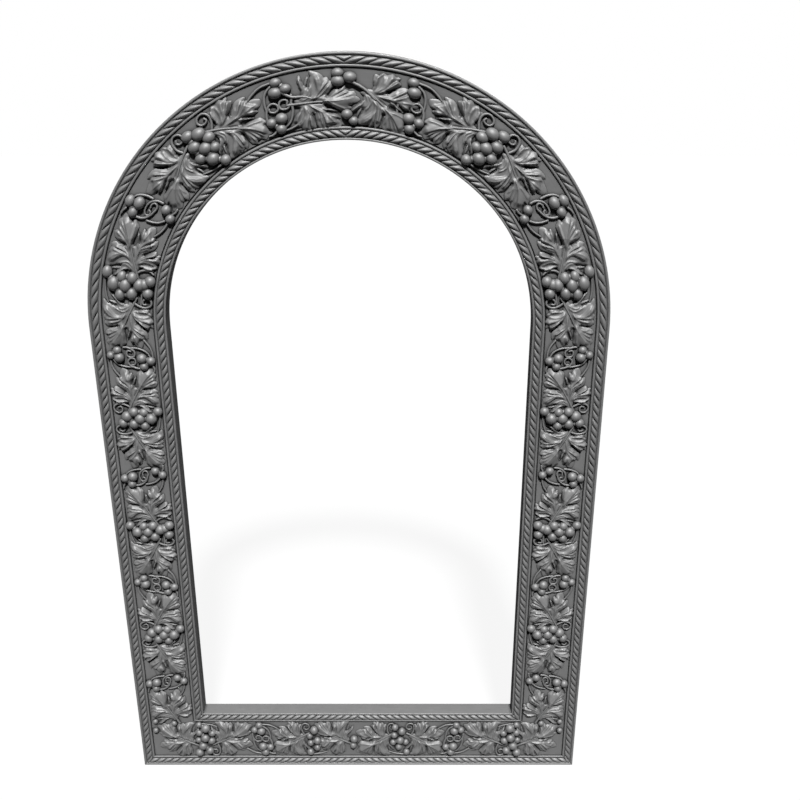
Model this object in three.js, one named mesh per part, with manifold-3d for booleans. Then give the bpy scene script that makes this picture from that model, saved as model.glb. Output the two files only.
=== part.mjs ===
// Carved arched icon frame, in millimetres: X across, Z up, front towards -Y, back against the wall.
import * as THREE from 'three';
import { mergeVertices } from 'three/addons/utils/BufferGeometryUtils.js';
import Module from 'manifold-3d';

const wasm = await Module();
wasm.setup();

// Band and outline
const frameWidth = 500;
const springingHeight = 531;
const bandWidth = 74;
const baseThickness = 28;
const archSegments = 3;
const archStepsPerSegment = 10;
const jointGap = 0.3;

// Moulded front, from the outer edge to the sight edge
const outerFilletWidth = 3;
const ropeSeatWidth = 7.2;
const ropeSeatDepth = 1.2;
const beadWidth = 2.4;
const beadCrownShare = 0.8;
const groundDepth = 2;
const sightFilletWidth = 2;
const ropeHeight = 3.8;
const ropeSteps = 6;
const glueGap = 0.3;
const weldTolerance = 1e-4;

// Stepped rebate behind the sight edge
const revealDepth = 17.4;
const rebateWidth = 8;
const ledgeWidth = 24;
const ledgeDepth = 4.8;

// Loose splines in the six joints
const splineThickness = 4;
const splineWidth = 36;
const splineReach = 13;
const splineDepth = 13;
const splineClearance = 0.3;

// Screws
const shankDiameter = 3;
const headDiameter = 6.4;
const headHeight = 1.6;
const headCrownDiameter = 4.4;
const screwPointLength = 2;
const screwLength = 12;
const screwSides = 8;
const screwClearance = 0.3;

// Turn buttons
const buttonWidth = 9;
const buttonThickness = 2.2;
const buttonPivotInset = 7;
const buttonTipMargin = 1;
const buttonArcSteps = 4;
const stileButtonHeights = [170, 390];
const runningGap = 0.3;

// Strap hangers
const strapWidth = 12;
const strapThickness = 1.2;
const strapLength = 44;
const strapScrewInset = 5;
const strapScrewSpacing = 11;
const ringWire = 2.6;
const ringInnerWidth = 20;
const ringInnerHeight = 16;
const ringSteps = 8;
const ringSides = 6;
const barrelWall = 1.2;
const barrelSides = 8;
const hangerDrop = 46;
const pocketMargin = 2;

// Vine carving, drawn on a flat ground of this width and repeat
const vineGroundWidth = 49.6;
const vineRepeat = 128.1;
const repeatsPerSide = 5.727;
const firstTendrils = 0.375;
const repeatsBelowCrown = 5;
const grapeSides = 5;
const grapeFoot = 1.12;
const grapeWaist = 0.95;
const grapeWaistHeight = 0.75;
const grapeTop = 1.3;
const leafRidgeHeight = 4.8;
const leafHeartHeight = 3.4;
const leafShoulderWidth = 9;
const leafShoulderShare = 0.64;
const leafShoulderSpread = 0.46;
const leafSinusShare = 0.52;
const leafRidgeShare = 0.5;
const stemRadius = 1.3;
const tendrilRadius = 1;
const stemSteps = 3;
const cornerClusterOutset = 1;
const middleClusterShare = 0.29;
const middleStretch = 0.87;

// Derived places
const outerRadius = frameWidth / 2;
const sightRadius = outerRadius - bandWidth;
const segmentAngle = Math.PI / archSegments;
const frontY = -baseThickness;
const seatY = frontY + ropeSeatDepth;
const groundY = frontY + groundDepth;
const lipY = frontY + revealDepth;
const ledgeY = -ledgeDepth;
const outerSeat = outerFilletWidth;
const outerBead = outerSeat + ropeSeatWidth;
const groundStart = outerBead + beadWidth;
const innerSeatEnd = bandWidth - sightFilletWidth;
const innerSeat = innerSeatEnd - ropeSeatWidth;
const groundEnd = innerSeat - beadWidth;
const groundCentre = (groundStart + groundEnd) / 2;
const rebateStart = bandWidth - rebateWidth;
const ledgeStart = rebateStart - ledgeWidth;
const sightQuarter = sightRadius * Math.PI / 2;
const sightPath = sightQuarter + springingHeight - bandWidth;
const repeatLength = sightPath / repeatsPerSide;
const vineScale = (groundEnd - groundStart) / vineGroundWidth;
const alongScale = repeatLength / vineRepeat;

// Finishes
const greyWood = () => new THREE.MeshStandardMaterial({ color: 0x6c6c6c, roughness: 0.45, metalness: 0 });
const bareWood = () => new THREE.MeshStandardMaterial({ color: 0xb99b6b, roughness: 0.7, metalness: 0 });
const zincSteel = () => new THREE.MeshStandardMaterial({ color: 0xb4b8bc, roughness: 0.35, metalness: 1 });

const frame = new THREE.Group();

// A closed body from points and triangles, turned so that its faces point out.
function solidFrom(points, triangles) {
  const crossed = new THREE.Vector3();
  let volume = 0;
  for (const [a, b, c] of triangles) {
    volume += points[a].dot(crossed.crossVectors(points[b], points[c]));
  }
  const outward = volume > 0 ? triangles : triangles.map(([a, b, c]) => [a, c, b]);
  return new wasm.Manifold(new wasm.Mesh({
    numProp: 3,
    vertProperties: Float32Array.from(points.flatMap((point) => point.toArray())),
    triVerts: Uint32Array.from(outward.flat()),
  }));
}

function trianglesOf(indices) {
  const triangles = [];
  for (let i = 0; i < indices.length; i += 3) {
    triangles.push([indices[i], indices[i + 1], indices[i + 2]]);
  }
  return triangles;
}

function solidFromGeometry(geometry) {
  geometry.deleteAttribute('normal');
  geometry.deleteAttribute('uv');
  const merged = mergeVertices(geometry, weldTolerance);
  const position = merged.getAttribute('position');
  const points = [];
  for (let i = 0; i < position.count; i += 1) {
    points.push(new THREE.Vector3().fromBufferAttribute(position, i));
  }
  return solidFrom(points, trianglesOf(merged.index.array));
}

// The same body with every point moved by a rule, such as from the flat drawing onto the band.
function moved(solid, rule) {
  const { vertProperties, triVerts } = solid.getMesh();
  const points = [];
  for (let i = 0; i < vertProperties.length; i += 3) {
    points.push(rule(vertProperties[i], vertProperties[i + 1], vertProperties[i + 2]));
  }
  return solidFrom(points, trianglesOf(triVerts));
}

function joined(solids) {
  return solids.reduce((whole, solid) => whole.add(solid));
}

function addPiece(name, solid, material) {
  const { vertProperties, triVerts } = solid.getMesh();
  const geometry = new THREE.BufferGeometry();
  geometry.setAttribute('position', new THREE.BufferAttribute(vertProperties, 3));
  geometry.setIndex(new THREE.BufferAttribute(triVerts, 1));
  geometry.computeVertexNormals();
  const mesh = new THREE.Mesh(geometry, material);
  mesh.name = name;
  frame.add(mesh);
}

// A body that runs through matching sections, closed at both ends.
function loft(sections, profile) {
  const count = profile.length;
  const points = sections.flat();
  const triangles = [];
  for (let s = 0; s < sections.length - 1; s += 1) {
    for (let i = 0; i < count; i += 1) {
      const next = (i + 1) % count;
      const near = s * count;
      const far = near + count;
      triangles.push([near + i, far + i, far + next]);
      triangles.push([near + i, far + next, near + next]);
    }
  }
  const last = (sections.length - 1) * count;
  for (const [a, b, c] of THREE.ShapeUtils.triangulateShape(profile, [])) {
    triangles.push([a, b, c]);
    triangles.push([last + c, last + b, last + a]);
  }
  return solidFrom(points, triangles);
}

function block(sizeX, sizeY, sizeZ) {
  return solidFromGeometry(new THREE.BoxGeometry(sizeX, sizeY, sizeZ));
}

function placed(solid, position, turnAboutY = 0) {
  const turn = new THREE.Matrix4().makeRotationY(turnAboutY);
  turn.setPosition(position);
  return moved(solid, (x, y, z) => new THREE.Vector3(x, y, z).applyMatrix4(turn));
}

// Points of the band: across is measured from the outer edge, and angle from the crown towards +X.
function archPoint(angle, across, y, shift = 0) {
  const radius = outerRadius - across;
  const x = radius * Math.sin(angle) + shift * Math.cos(angle);
  const z = springingHeight + radius * Math.cos(angle) - shift * Math.sin(angle);
  return new THREE.Vector3(x, y, z);
}

function stilePoint(side, across, y, z) {
  return new THREE.Vector3(side * (outerRadius - across), y, z);
}

const mitreSetback = jointGap / 2 * Math.SQRT2;

function stileFoot(side, across, y) {
  return stilePoint(side, across, y, across + mitreSetback);
}

function railPoint(end, across, y) {
  return new THREE.Vector3(end * (outerRadius - across - mitreSetback), y, across);
}

// Section of the members: (across, y), from the back outer corner round the front to the back ledge.
function bead(start) {
  const middle = start + beadWidth / 2;
  const halfCrown = beadWidth * beadCrownShare / 2;
  const shoulderY = (frontY + seatY) / 2;
  return [
    [middle - halfCrown, shoulderY],
    [middle, frontY],
    [middle + halfCrown, shoulderY],
  ];
}

const memberProfile = [
  [0, 0],
  [0, frontY],
  [outerFilletWidth, frontY],
  [outerFilletWidth, seatY],
  [outerBead, seatY],
  ...bead(outerBead),
  [groundStart, groundY],
  [groundEnd, groundY],
  ...bead(groundEnd),
  [innerSeat, seatY],
  [innerSeatEnd, seatY],
  [innerSeatEnd, frontY],
  [bandWidth, frontY],
  [bandWidth, lipY],
  [rebateStart, lipY],
  [rebateStart, ledgeY],
  [ledgeStart, ledgeY],
  [ledgeStart, 0],
].map(([across, y]) => new THREE.Vector2(across, y));

// Half-round section of a rope moulding in the seat that starts at the given place across the band.
function ropeProfile(seatStart) {
  const halfWidth = ropeSeatWidth / 2 - glueGap;
  const middle = seatStart + ropeSeatWidth / 2;
  const base = seatY - glueGap;
  const points = [];
  for (let i = 0; i <= ropeSteps; i += 1) {
    const angle = Math.PI * i / ropeSteps;
    points.push(new THREE.Vector2(
      middle - halfWidth * Math.cos(angle),
      base - (ropeHeight - glueGap) * Math.sin(angle),
    ));
  }
  return points;
}

function sectionAt(profile, place) {
  return profile.map((point) => place(point.x, point.y));
}

function archSections(profile, startAngle, endAngle, steps, startShift, endShift) {
  const sections = [];
  for (let i = 0; i <= steps; i += 1) {
    const angle = startAngle + (endAngle - startAngle) * i / steps;
    let shift = 0;
    if (i === 0) {
      shift = startShift;
    }
    if (i === steps) {
      shift = endShift;
    }
    sections.push(sectionAt(profile, (across, y) => archPoint(angle, across, y, shift)));
  }
  return sections;
}

// Splines: flat boards that lie across each joint, with their slots.
const splineY = -splineDepth;

function splineBlock(clearance) {
  return block(
    splineWidth + 2 * clearance,
    splineThickness + 2 * clearance,
    2 * splineReach + 2 * clearance,
  );
}

const splinePlaces = [];
for (const side of [-1, 1]) {
  const sideName = side < 0 ? 'left' : 'right';
  splinePlaces.push({
    name: `mitre_spline_${sideName}`,
    position: new THREE.Vector3(side * (outerRadius - groundCentre), splineY, groundCentre),
    turn: side * Math.PI / 4,
  });
  splinePlaces.push({
    name: `springing_spline_${sideName}`,
    position: archPoint(side * Math.PI / 2, groundCentre, splineY),
    turn: 0,
  });
  splinePlaces.push({
    name: `crown_spline_${sideName}`,
    position: archPoint(side * segmentAngle / 2, groundCentre, splineY),
    turn: side * (segmentAngle / 2 - Math.PI / 2),
  });
}

for (const { name, position, turn } of splinePlaces) {
  addPiece(name, placed(splineBlock(0), position, turn), bareWood());
}

const splineSlots = joined(splinePlaces.map(
  ({ position, turn }) => placed(splineBlock(splineClearance), position, turn),
));

// Screws stand along Y, with the head's seat at y = 0 and the point towards the front.
function screwSolid(clearance) {
  const shankRadius = shankDiameter / 2 + clearance;
  const tip = -screwLength - clearance;
  const profile = [
    new THREE.Vector2(0, tip),
    new THREE.Vector2(shankRadius, tip + screwPointLength),
    new THREE.Vector2(shankRadius, clearance),
    new THREE.Vector2(headDiameter / 2, clearance),
    new THREE.Vector2(headCrownDiameter / 2, clearance + headHeight),
    new THREE.Vector2(0, clearance + headHeight),
  ];
  return solidFromGeometry(new THREE.LatheGeometry(profile, screwSides));
}

// Turn buttons: the pivot is at the origin, the bar runs up and its back lies on y = 0.
const buttonReach = buttonPivotInset + rebateWidth - buttonTipMargin;
const pivotAcross = rebateStart - buttonPivotInset;
const buttonY = ledgeY + runningGap;
const buttonScrewY = buttonY + buttonThickness + runningGap;
const pivotHoleRadius = shankDiameter / 2 + runningGap;

function buttonSolid() {
  const half = buttonWidth / 2;
  const outline = new THREE.Shape();
  outline.moveTo(-half, 0);
  outline.absarc(0, 0, half, Math.PI, 2 * Math.PI);
  outline.lineTo(half, buttonReach - half);
  outline.absarc(0, buttonReach - half, half, 0, Math.PI);
  const hole = new THREE.Path();
  hole.absarc(0, 0, pivotHoleRadius, 0, 2 * Math.PI, true);
  outline.holes.push(hole);
  const bar = new THREE.ExtrudeGeometry(outline, {
    depth: buttonThickness,
    bevelEnabled: false,
    curveSegments: buttonArcSteps,
  });
  return moved(solidFromGeometry(bar), (x, y, z) => new THREE.Vector3(x, z, y));
}

const buttonPlaces = [];
for (const side of [-1, 1]) {
  const sideName = side < 0 ? 'left' : 'right';
  stileButtonHeights.forEach((height, index) => {
    const level = index === 0 ? 'lower' : 'upper';
    buttonPlaces.push({
      name: `${sideName}_${level}`,
      position: stilePoint(side, pivotAcross, 0, height),
      turn: 0,
    });
  });
}
buttonPlaces.push({
  name: 'bottom',
  position: new THREE.Vector3(0, 0, pivotAcross),
  turn: Math.PI / 2,
});
buttonPlaces.push({
  name: 'crown',
  position: archPoint(0, pivotAcross, 0),
  turn: Math.PI / 2,
});

const screwPlaces = [];
for (const { name, position, turn } of buttonPlaces) {
  const seat = position.clone().setY(buttonY);
  addPiece(`turn_button_${name}`, placed(buttonSolid(), seat, turn), zincSteel());
  screwPlaces.push({
    name: `button_screw_${name}`,
    position: position.clone().setY(buttonScrewY),
  });
}

// Strap hangers in pockets behind the stiles. The ring's bar is the origin of a hanger.
const barrelBore = ringWire / 2 + runningGap;
const barrelRadius = barrelBore + barrelWall;
const hangerAcross = ledgeStart / 2;
const hangerHeight = springingHeight - hangerDrop;
const ringRadius = ringWire / 2;
const ringHalfWidth = ringInnerWidth / 2 + ringRadius;
const ringDrop = ringInnerHeight + ringWire;
const strapTop = glueGap + strapThickness;
const barY = strapTop + runningGap + ringRadius;
const pocketWidth = ringInnerWidth + 2 * ringWire + 2 * pocketMargin;
const pocketTop = ringDrop + ringRadius + pocketMargin;
const pocketBottom = strapLength + pocketMargin;
const pocketDepth = barY + barrelRadius + pocketMargin;
const pocketFloor = -pocketDepth;

function pocketSolid() {
  const height = pocketTop + pocketBottom;
  const middle = (pocketTop - pocketBottom) / 2;
  const hollow = block(pocketWidth, 2 * pocketDepth, height);
  return placed(hollow, new THREE.Vector3(0, pocketDepth, middle));
}

// A strap folded round the ring's bar: a flat tail, and a barrel that stands on it.
function strapSolid() {
  const tail = placed(
    block(strapWidth, strapThickness, strapLength),
    new THREE.Vector3(0, glueGap + strapThickness / 2, -strapLength / 2),
  );
  const bore = new THREE.Shape();
  bore.absarc(0, 0, barrelRadius, 0, 2 * Math.PI);
  const hole = new THREE.Path();
  hole.absarc(0, 0, barrelBore, 0, 2 * Math.PI, true);
  bore.holes.push(hole);
  const tube = new THREE.ExtrudeGeometry(bore, {
    depth: strapWidth,
    bevelEnabled: false,
    curveSegments: barrelSides,
  });
  const barrel = moved(
    solidFromGeometry(tube),
    (x, y, z) => new THREE.Vector3(z - strapWidth / 2, y + barY, x),
  );
  const wire = new THREE.CylinderGeometry(barrelBore, barrelBore, 2 * strapWidth, barrelSides);
  const clearBore = moved(
    solidFromGeometry(wire),
    (x, y, z) => new THREE.Vector3(y, x + barY, z),
  );
  const below = placed(
    block(2 * strapWidth, strapLength, strapLength),
    new THREE.Vector3(0, glueGap - strapLength / 2, 0),
  );
  return barrel.add(tail).subtract(clearBore).subtract(below);
}

// The D-ring hangs down from its straight bar, which runs through the barrel.
function ringSolid() {
  const bow = Math.min(ringHalfWidth, ringDrop);
  const corners = [];
  const straightLegs = ringDrop > bow;
  if (straightLegs) {
    corners.push(new THREE.Vector2(-ringHalfWidth, 0));
  }
  for (let i = 0; i <= ringSteps; i += 1) {
    const angle = Math.PI * i / ringSteps;
    corners.push(new THREE.Vector2(
      -ringHalfWidth * Math.cos(angle),
      bow - ringDrop - bow * Math.sin(angle),
    ));
  }
  if (straightLegs) {
    corners.push(new THREE.Vector2(ringHalfWidth, 0));
  }
  const count = corners.length;
  const points = [];
  corners.forEach((corner, i) => {
    const arriving = corner.clone().sub(corners[(i + count - 1) % count]).normalize();
    const leaving = corners[(i + 1) % count].clone().sub(corner).normalize();
    const across = new THREE.Vector2(arriving.y + leaving.y, -arriving.x - leaving.x).normalize();
    const mitre = 1 / across.dot(new THREE.Vector2(arriving.y, -arriving.x));
    for (let k = 0; k < ringSides; k += 1) {
      const angle = 2 * Math.PI * k / ringSides;
      const offset = ringRadius * Math.cos(angle) * mitre;
      points.push(new THREE.Vector3(
        corner.x + across.x * offset,
        barY + ringRadius * Math.sin(angle),
        corner.y + across.y * offset,
      ));
    }
  });
  const triangles = [];
  for (let i = 0; i < count; i += 1) {
    const near = i * ringSides;
    const far = ((i + 1) % count) * ringSides;
    for (let k = 0; k < ringSides; k += 1) {
      const next = (k + 1) % ringSides;
      triangles.push([near + k, far + k, far + next]);
      triangles.push([near + k, far + next, near + next]);
    }
  }
  return solidFrom(points, triangles);
}

const pockets = {};
for (const side of [-1, 1]) {
  const sideName = side < 0 ? 'left' : 'right';
  const position = stilePoint(side, hangerAcross, pocketFloor, hangerHeight);
  pockets[sideName] = placed(pocketSolid(), position);
  const holes = [];
  for (const row of [0, 1]) {
    const drop = strapLength - strapScrewInset - row * strapScrewSpacing;
    const seat = position.clone().add(new THREE.Vector3(0, strapTop + runningGap, -drop));
    const rowName = row === 0 ? 'lower' : 'upper';
    screwPlaces.push({ name: `hanger_screw_${sideName}_${rowName}`, position: seat });
    holes.push(placed(screwSolid(screwClearance), seat.clone().setY(seat.y - screwClearance)));
  }
  const strap = placed(strapSolid(), position).subtract(joined(holes));
  addPiece(`hanger_strap_${sideName}`, strap, zincSteel());
  addPiece(`hanger_ring_${sideName}`, placed(ringSolid(), position), zincSteel());
}

for (const { name, position } of screwPlaces) {
  addPiece(name, placed(screwSolid(0), position), zincSteel());
}

const screwHoles = joined(screwPlaces.map(
  ({ position }) => placed(screwSolid(screwClearance), position.clone().setY(position.y - screwClearance)),
));

// Members: two stiles, the rail and three arch segments, slotted for splines and bored for screws.
for (const side of [-1, 1]) {
  const sideName = side < 0 ? 'left' : 'right';
  const top = sectionAt(
    memberProfile,
    (across, y) => stilePoint(side, across, y, springingHeight - jointGap / 2),
  );
  const foot = sectionAt(memberProfile, (across, y) => stileFoot(side, across, y));
  const stile = loft([top, foot], memberProfile);
  addPiece(
    `${sideName}_stile`,
    stile.subtract(splineSlots).subtract(pockets[sideName]).subtract(screwHoles),
    greyWood(),
  );
}

const railEnds = [-1, 1].map(
  (end) => sectionAt(memberProfile, (across, y) => railPoint(end, across, y)),
);
addPiece(
  'bottom_rail',
  loft(railEnds, memberProfile).subtract(splineSlots).subtract(screwHoles),
  greyWood(),
);

['arch_left', 'arch_crown', 'arch_right'].forEach((name, index) => {
  const start = -Math.PI / 2 + index * segmentAngle;
  const sections = archSections(
    memberProfile,
    start,
    start + segmentAngle,
    archStepsPerSegment,
    jointGap / 2,
    -jointGap / 2,
  );
  const segment = loft(sections, memberProfile);
  addPiece(name, segment.subtract(splineSlots).subtract(screwHoles), greyWood());
});

// Rope mouldings: a run down each side, and two runs along the bottom, at the outer and the sight edge.
const halfArchSteps = archSegments * archStepsPerSegment / 2;
for (const [edge, seat] of [['outer', outerSeat], ['inner', innerSeat]]) {
  const profile = ropeProfile(seat);
  for (const side of [-1, 1]) {
    const sideName = side < 0 ? 'left' : 'right';
    const run = archSections(profile, 0, side * Math.PI / 2, halfArchSteps, side * jointGap / 2, 0);
    run.push(sectionAt(profile, (across, y) => stileFoot(side, across, y)));
    addPiece(`${edge}_rope_${sideName}`, loft(run, profile), greyWood());
    const middle = sectionAt(profile, (across, y) => new THREE.Vector3(side * jointGap / 2, y, across));
    const end = sectionAt(profile, (across, y) => railPoint(side, across, y));
    addPiece(`${edge}_rope_bottom_${sideName}`, loft([middle, end], profile), greyWood());
  }
}

// Vine carving, drawn flat: x across from the middle of the ground, y along, z out from the ground.
function grape([across, along, radius]) {
  const profile = [
    new THREE.Vector2(0, 0),
    new THREE.Vector2(radius * grapeFoot, 0),
    new THREE.Vector2(radius * grapeWaist, radius * grapeWaistHeight),
    new THREE.Vector2(0, radius * grapeTop),
  ];
  const dome = new THREE.LatheGeometry(profile, grapeSides);
  dome.rotateX(Math.PI / 2);
  dome.translate(across, along, 0);
  return solidFromGeometry(dome);
}

// A stem is a ridge that follows a smooth line over the ground.
function stem(points, radius) {
  const line = new THREE.SplineCurve(points.map(([across, along]) => new THREE.Vector2(across, along)));
  const sections = [];
  for (let i = 0; i <= stemSteps; i += 1) {
    const middle = line.getPoint(i / stemSteps);
    const ahead = line.getTangent(i / stemSteps);
    sections.push([
      new THREE.Vector3(middle.x - ahead.y * radius, middle.y + ahead.x * radius, 0),
      new THREE.Vector3(middle.x + ahead.y * radius, middle.y - ahead.x * radius, 0),
      new THREE.Vector3(middle.x, middle.y, 2 * radius),
    ]);
  }
  const triangle = [new THREE.Vector2(-1, 0), new THREE.Vector2(1, 0), new THREE.Vector2(0, 1)];
  return loft(sections, triangle);
}

// A lobed vine leaf round its heart. Each lobe is (tip across, tip along, width), in turning order.
function leaf([heartAcross, heartAlong], lobes) {
  const heart = new THREE.Vector2(heartAcross, heartAlong);
  const tips = lobes.map(([across, along, width]) => {
    const reach = new THREE.Vector2(across, along).sub(heart);
    return { reach, width, length: reach.length(), angle: reach.angle() };
  });
  tips.sort((a, b) => a.angle - b.angle);
  const count = tips.length;
  const turn = (from, to) => (to.angle - from.angle + 2 * Math.PI) % (2 * Math.PI);
  const points = [];
  const heartTop = points.push(new THREE.Vector3(heart.x, heart.y, leafHeartHeight)) - 1;
  const heartFoot = points.push(new THREE.Vector3(heart.x, heart.y, 0)) - 1;
  const onGround = (point) => points.push(new THREE.Vector3(point.x, point.y, 0)) - 1;
  const lobeCorners = tips.map((tip, i) => {
    const next = tips[(i + 1) % count];
    const before = tips[(i + count - 1) % count];
    const shoulderReach = leafShoulderShare * tip.length;
    const room = Math.min(turn(before, tip), turn(tip, next), Math.PI / 2);
    const widest = Math.tan(leafShoulderSpread * room);
    const half = Math.min(tip.width / 2, shoulderReach * widest);
    const side = new THREE.Vector2(-tip.reach.y, tip.reach.x).normalize();
    const shoulder = heart.clone().addScaledVector(tip.reach, leafShoulderShare);
    const broad = tip.width >= leafShoulderWidth;
    const corners = [];
    if (broad) {
      corners.push(onGround(shoulder.clone().addScaledVector(side, -half)));
    }
    corners.push(onGround(heart.clone().add(tip.reach)));
    if (broad) {
      corners.push(onGround(shoulder.clone().addScaledVector(side, half)));
    }
    const sinusAngle = tip.angle + turn(tip, next) / 2;
    const sinusReach = leafSinusShare * Math.min(tip.length, next.length);
    const sinus = new THREE.Vector2(Math.cos(sinusAngle), Math.sin(sinusAngle)).multiplyScalar(sinusReach);
    corners.push(onGround(heart.clone().add(sinus)));
    return corners;
  });
  const triangles = [];
  lobeCorners.forEach((corners, i) => {
    const ridgeAt = heart.clone().addScaledVector(tips[i].reach, leafRidgeShare);
    const ridge = points.push(new THREE.Vector3(ridgeAt.x, ridgeAt.y, leafRidgeHeight)) - 1;
    const sinusBefore = lobeCorners[(i + count - 1) % count].at(-1);
    const rim = [sinusBefore, ...corners];
    for (let k = 0; k < rim.length - 1; k += 1) {
      triangles.push([rim[k], rim[k + 1], ridge]);
      triangles.push([heartFoot, rim[k + 1], rim[k]]);
    }
    triangles.push([rim.at(-1), heartTop, ridge]);
    triangles.push([heartTop, sinusBefore, ridge]);
  });
  return solidFrom(points, triangles);
}

const firstLeafHeart = [0.5, 42];
const firstLeafLobes = [
  [19, 15.5, 12],
  [21.7, 26, 8],
  [22.8, 36, 10],
  [22, 47.5, 8],
  [17.5, 58, 7],
  [-24, 44.5, 5],
  [-24, 35, 11],
  [-16, 23, 8],
  [-8.2, 16.5, 12],
];
const firstLeafStem = [[-8.6, 58], [-2.5, 47], [2.5, 38]];
const bunchGrapes = [
  [-11.4, 61.3, 5],
  [-4.5, 57.1, 5],
  [4.7, 56.5, 4.5],
  [-15.3, 69.5, 4.3],
  [-4.5, 69.8, 5],
  [1.7, 64.3, 5],
  [12.1, 64.3, 5.3],
  [5.8, 72.6, 4.5],
  [20, 56.4, 4.2],
];
const secondLeafHeart = [0, 93];
const secondLeafLobes = [
  [15.8, 74, 6.5],
  [22.8, 84.5, 11],
  [21.8, 97.5, 8],
  [14.5, 120, 16],
  [-11, 117, 14],
  [-24, 95, 12],
  [-24, 84.5, 5],
];
const secondLeafStem = [[-7, 71], [-4.7, 81.5], [-1.2, 92]];
const tendrilGrapes = [
  [-19.8, -2.4, 3.9],
  [-12.8, -7.4, 4.2],
  [-11.6, 0.2, 5],
  [10.5, 1.3, 4.8],
  [18.9, 3.9, 4.2],
  [11.6, 9.8, 4.2],
];
const tendrilStems = [
  [[13.6, -17], [18.6, -9.6], [20, 1.5]],
  [[-17, 0], [-11.4, 8.2], [-3.6, 9.8], [9, 11]],
];
const bunchAlong = 64.5;

const flipped = ([across, along, ...rest]) => [-across, along, ...rest];
const slid = (distance) => ([across, along, ...rest]) => [across, along + distance, ...rest];

// The tendril group that closes a repeat faces the other way from the bunch above it.
function tendrils(place) {
  return [
    ...tendrilGrapes.map((item) => grape(place(item))),
    ...tendrilStems.map((points) => stem(points.map(place), tendrilRadius)),
  ];
}

const firstLeaf = () => [leaf(firstLeafHeart, firstLeafLobes), stem(firstLeafStem, stemRadius)];
const secondLeaf = () => [leaf(secondLeafHeart, secondLeafLobes), stem(secondLeafStem, stemRadius)];
const closingTendrils = () => tendrils((item) => slid(vineRepeat)(flipped(item)));

const bunchSpray = joined([...firstLeaf(), ...bunchGrapes.map(grape), ...secondLeaf()]);
const fullSpray = joined([bunchSpray, ...closingTendrils()]);
const footSpray = joined(firstLeaf());

// Crown: two leaves that both point to the right, small grapes between them and tendrils at both ends.
const crownLeftHeart = [-0.5, -24];
const crownLeftLobes = [
  [24, -29, 12],
  [24, -16, 8],
  [22, -2, 10],
  [6.3, 4.5, 12],
  [-3.5, 5, 9],
  [-12.5, -11, 10],
  [-24, -21.5, 9],
  [-24, -30, 5],
];
const crownRightHeart = [2, 25];
const crownRightLobes = [
  [15.5, 8, 7],
  [20.5, 12, 10],
  [22.5, 26, 9],
  [23.5, 36, 10],
  [14, 39, 10],
  [-4, 38, 11],
  [-15, 41, 9],
  [-22, 33, 12],
  [-21, 20, 5],
];
const crownGrapes = [
  [-20, -4.4, 4],
  [-13.4, -4.4, 4.5],
  [-16.4, 3.5, 4.5],
  [14.5, 1.5, 4.2],
  [20, 6.7, 3.8],
];
const crownStems = [
  [[-9.8, -46], [-3, -36], [-0.5, -24]],
  [[-14.2, 3.5], [-5.9, 14.5], [2, 25]],
  [[-14.5, -4], [-7, -7], [-0.5, -14]],
  [[14.5, 1.5], [9, -5], [3, -14]],
];
const crownTendrilPlace = firstTendrils * vineRepeat;
const crownSpray = joined([
  leaf(crownLeftHeart, crownLeftLobes),
  leaf(crownRightHeart, crownRightLobes),
  ...crownGrapes.map(grape),
  ...crownStems.map((points) => stem(points, stemRadius)),
  ...tendrils(([across, along, ...rest]) => [across, -along - crownTendrilPlace, ...rest]),
  ...tendrils(slid(crownTendrilPlace)),
]);

// From the flat drawing to the band beside the crown (side) and along the bottom rail (end).
const vineY = groundY - glueGap;

function sidePlace(side, mirror, start) {
  return (across, along, height) => {
    const bandAcross = groundCentre + mirror * across * vineScale;
    const path = start + along * alongScale;
    const y = vineY - height * vineScale;
    if (path < sightQuarter) {
      return archPoint(side * path / sightRadius, bandAcross, y);
    }
    return stilePoint(side, bandAcross, y, springingHeight + sightQuarter - path);
  };
}

function bottomPlace(end, mirror, clusterX, stretch) {
  return (across, along, height) => new THREE.Vector3(
    end * (clusterX + (along - bunchAlong) * stretch * alongScale),
    vineY - height * vineScale,
    groundCentre + mirror * across * vineScale,
  );
}

addPiece('vine_spray_crown', moved(crownSpray, sidePlace(1, 1, 0)), greyWood());

const cornerClusterX = -(sightRadius + cornerClusterOutset);
const middleClusterX = -sightRadius * middleClusterShare;
for (const side of [-1, 1]) {
  const sideName = side < 0 ? 'left' : 'right';
  for (let i = 0; i <= repeatsBelowCrown; i += 1) {
    const start = (firstTendrils + i) * repeatLength;
    const mirror = i % 2 === 0 ? 1 : -1;
    const spray = i < repeatsBelowCrown ? fullSpray : footSpray;
    addPiece(`vine_spray_${sideName}_${i + 1}`, moved(spray, sidePlace(side, mirror, start)), greyWood());
  }
  const corner = bottomPlace(-side, 1, cornerClusterX, 1);
  addPiece(`vine_spray_bottom_${sideName}_outer`, moved(fullSpray, corner), greyWood());
  const middle = bottomPlace(-side, -1, middleClusterX, middleStretch);
  addPiece(`vine_spray_bottom_${sideName}_inner`, moved(bunchSpray, middle), greyWood());
}

// The origin is on the wall plane, in the middle of the bottom rail's flat back.
frame.position.z = -ledgeStart / 2;

export default frame;
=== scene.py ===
"""Looks of a carved arched icon frame: mouldings, twisted ropes, grape vine and back hardware."""
import itertools
import math

import bmesh
import bpy
import numpy as np
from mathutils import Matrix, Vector
from mathutils.geometry import delaunay_2d_cdt


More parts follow.
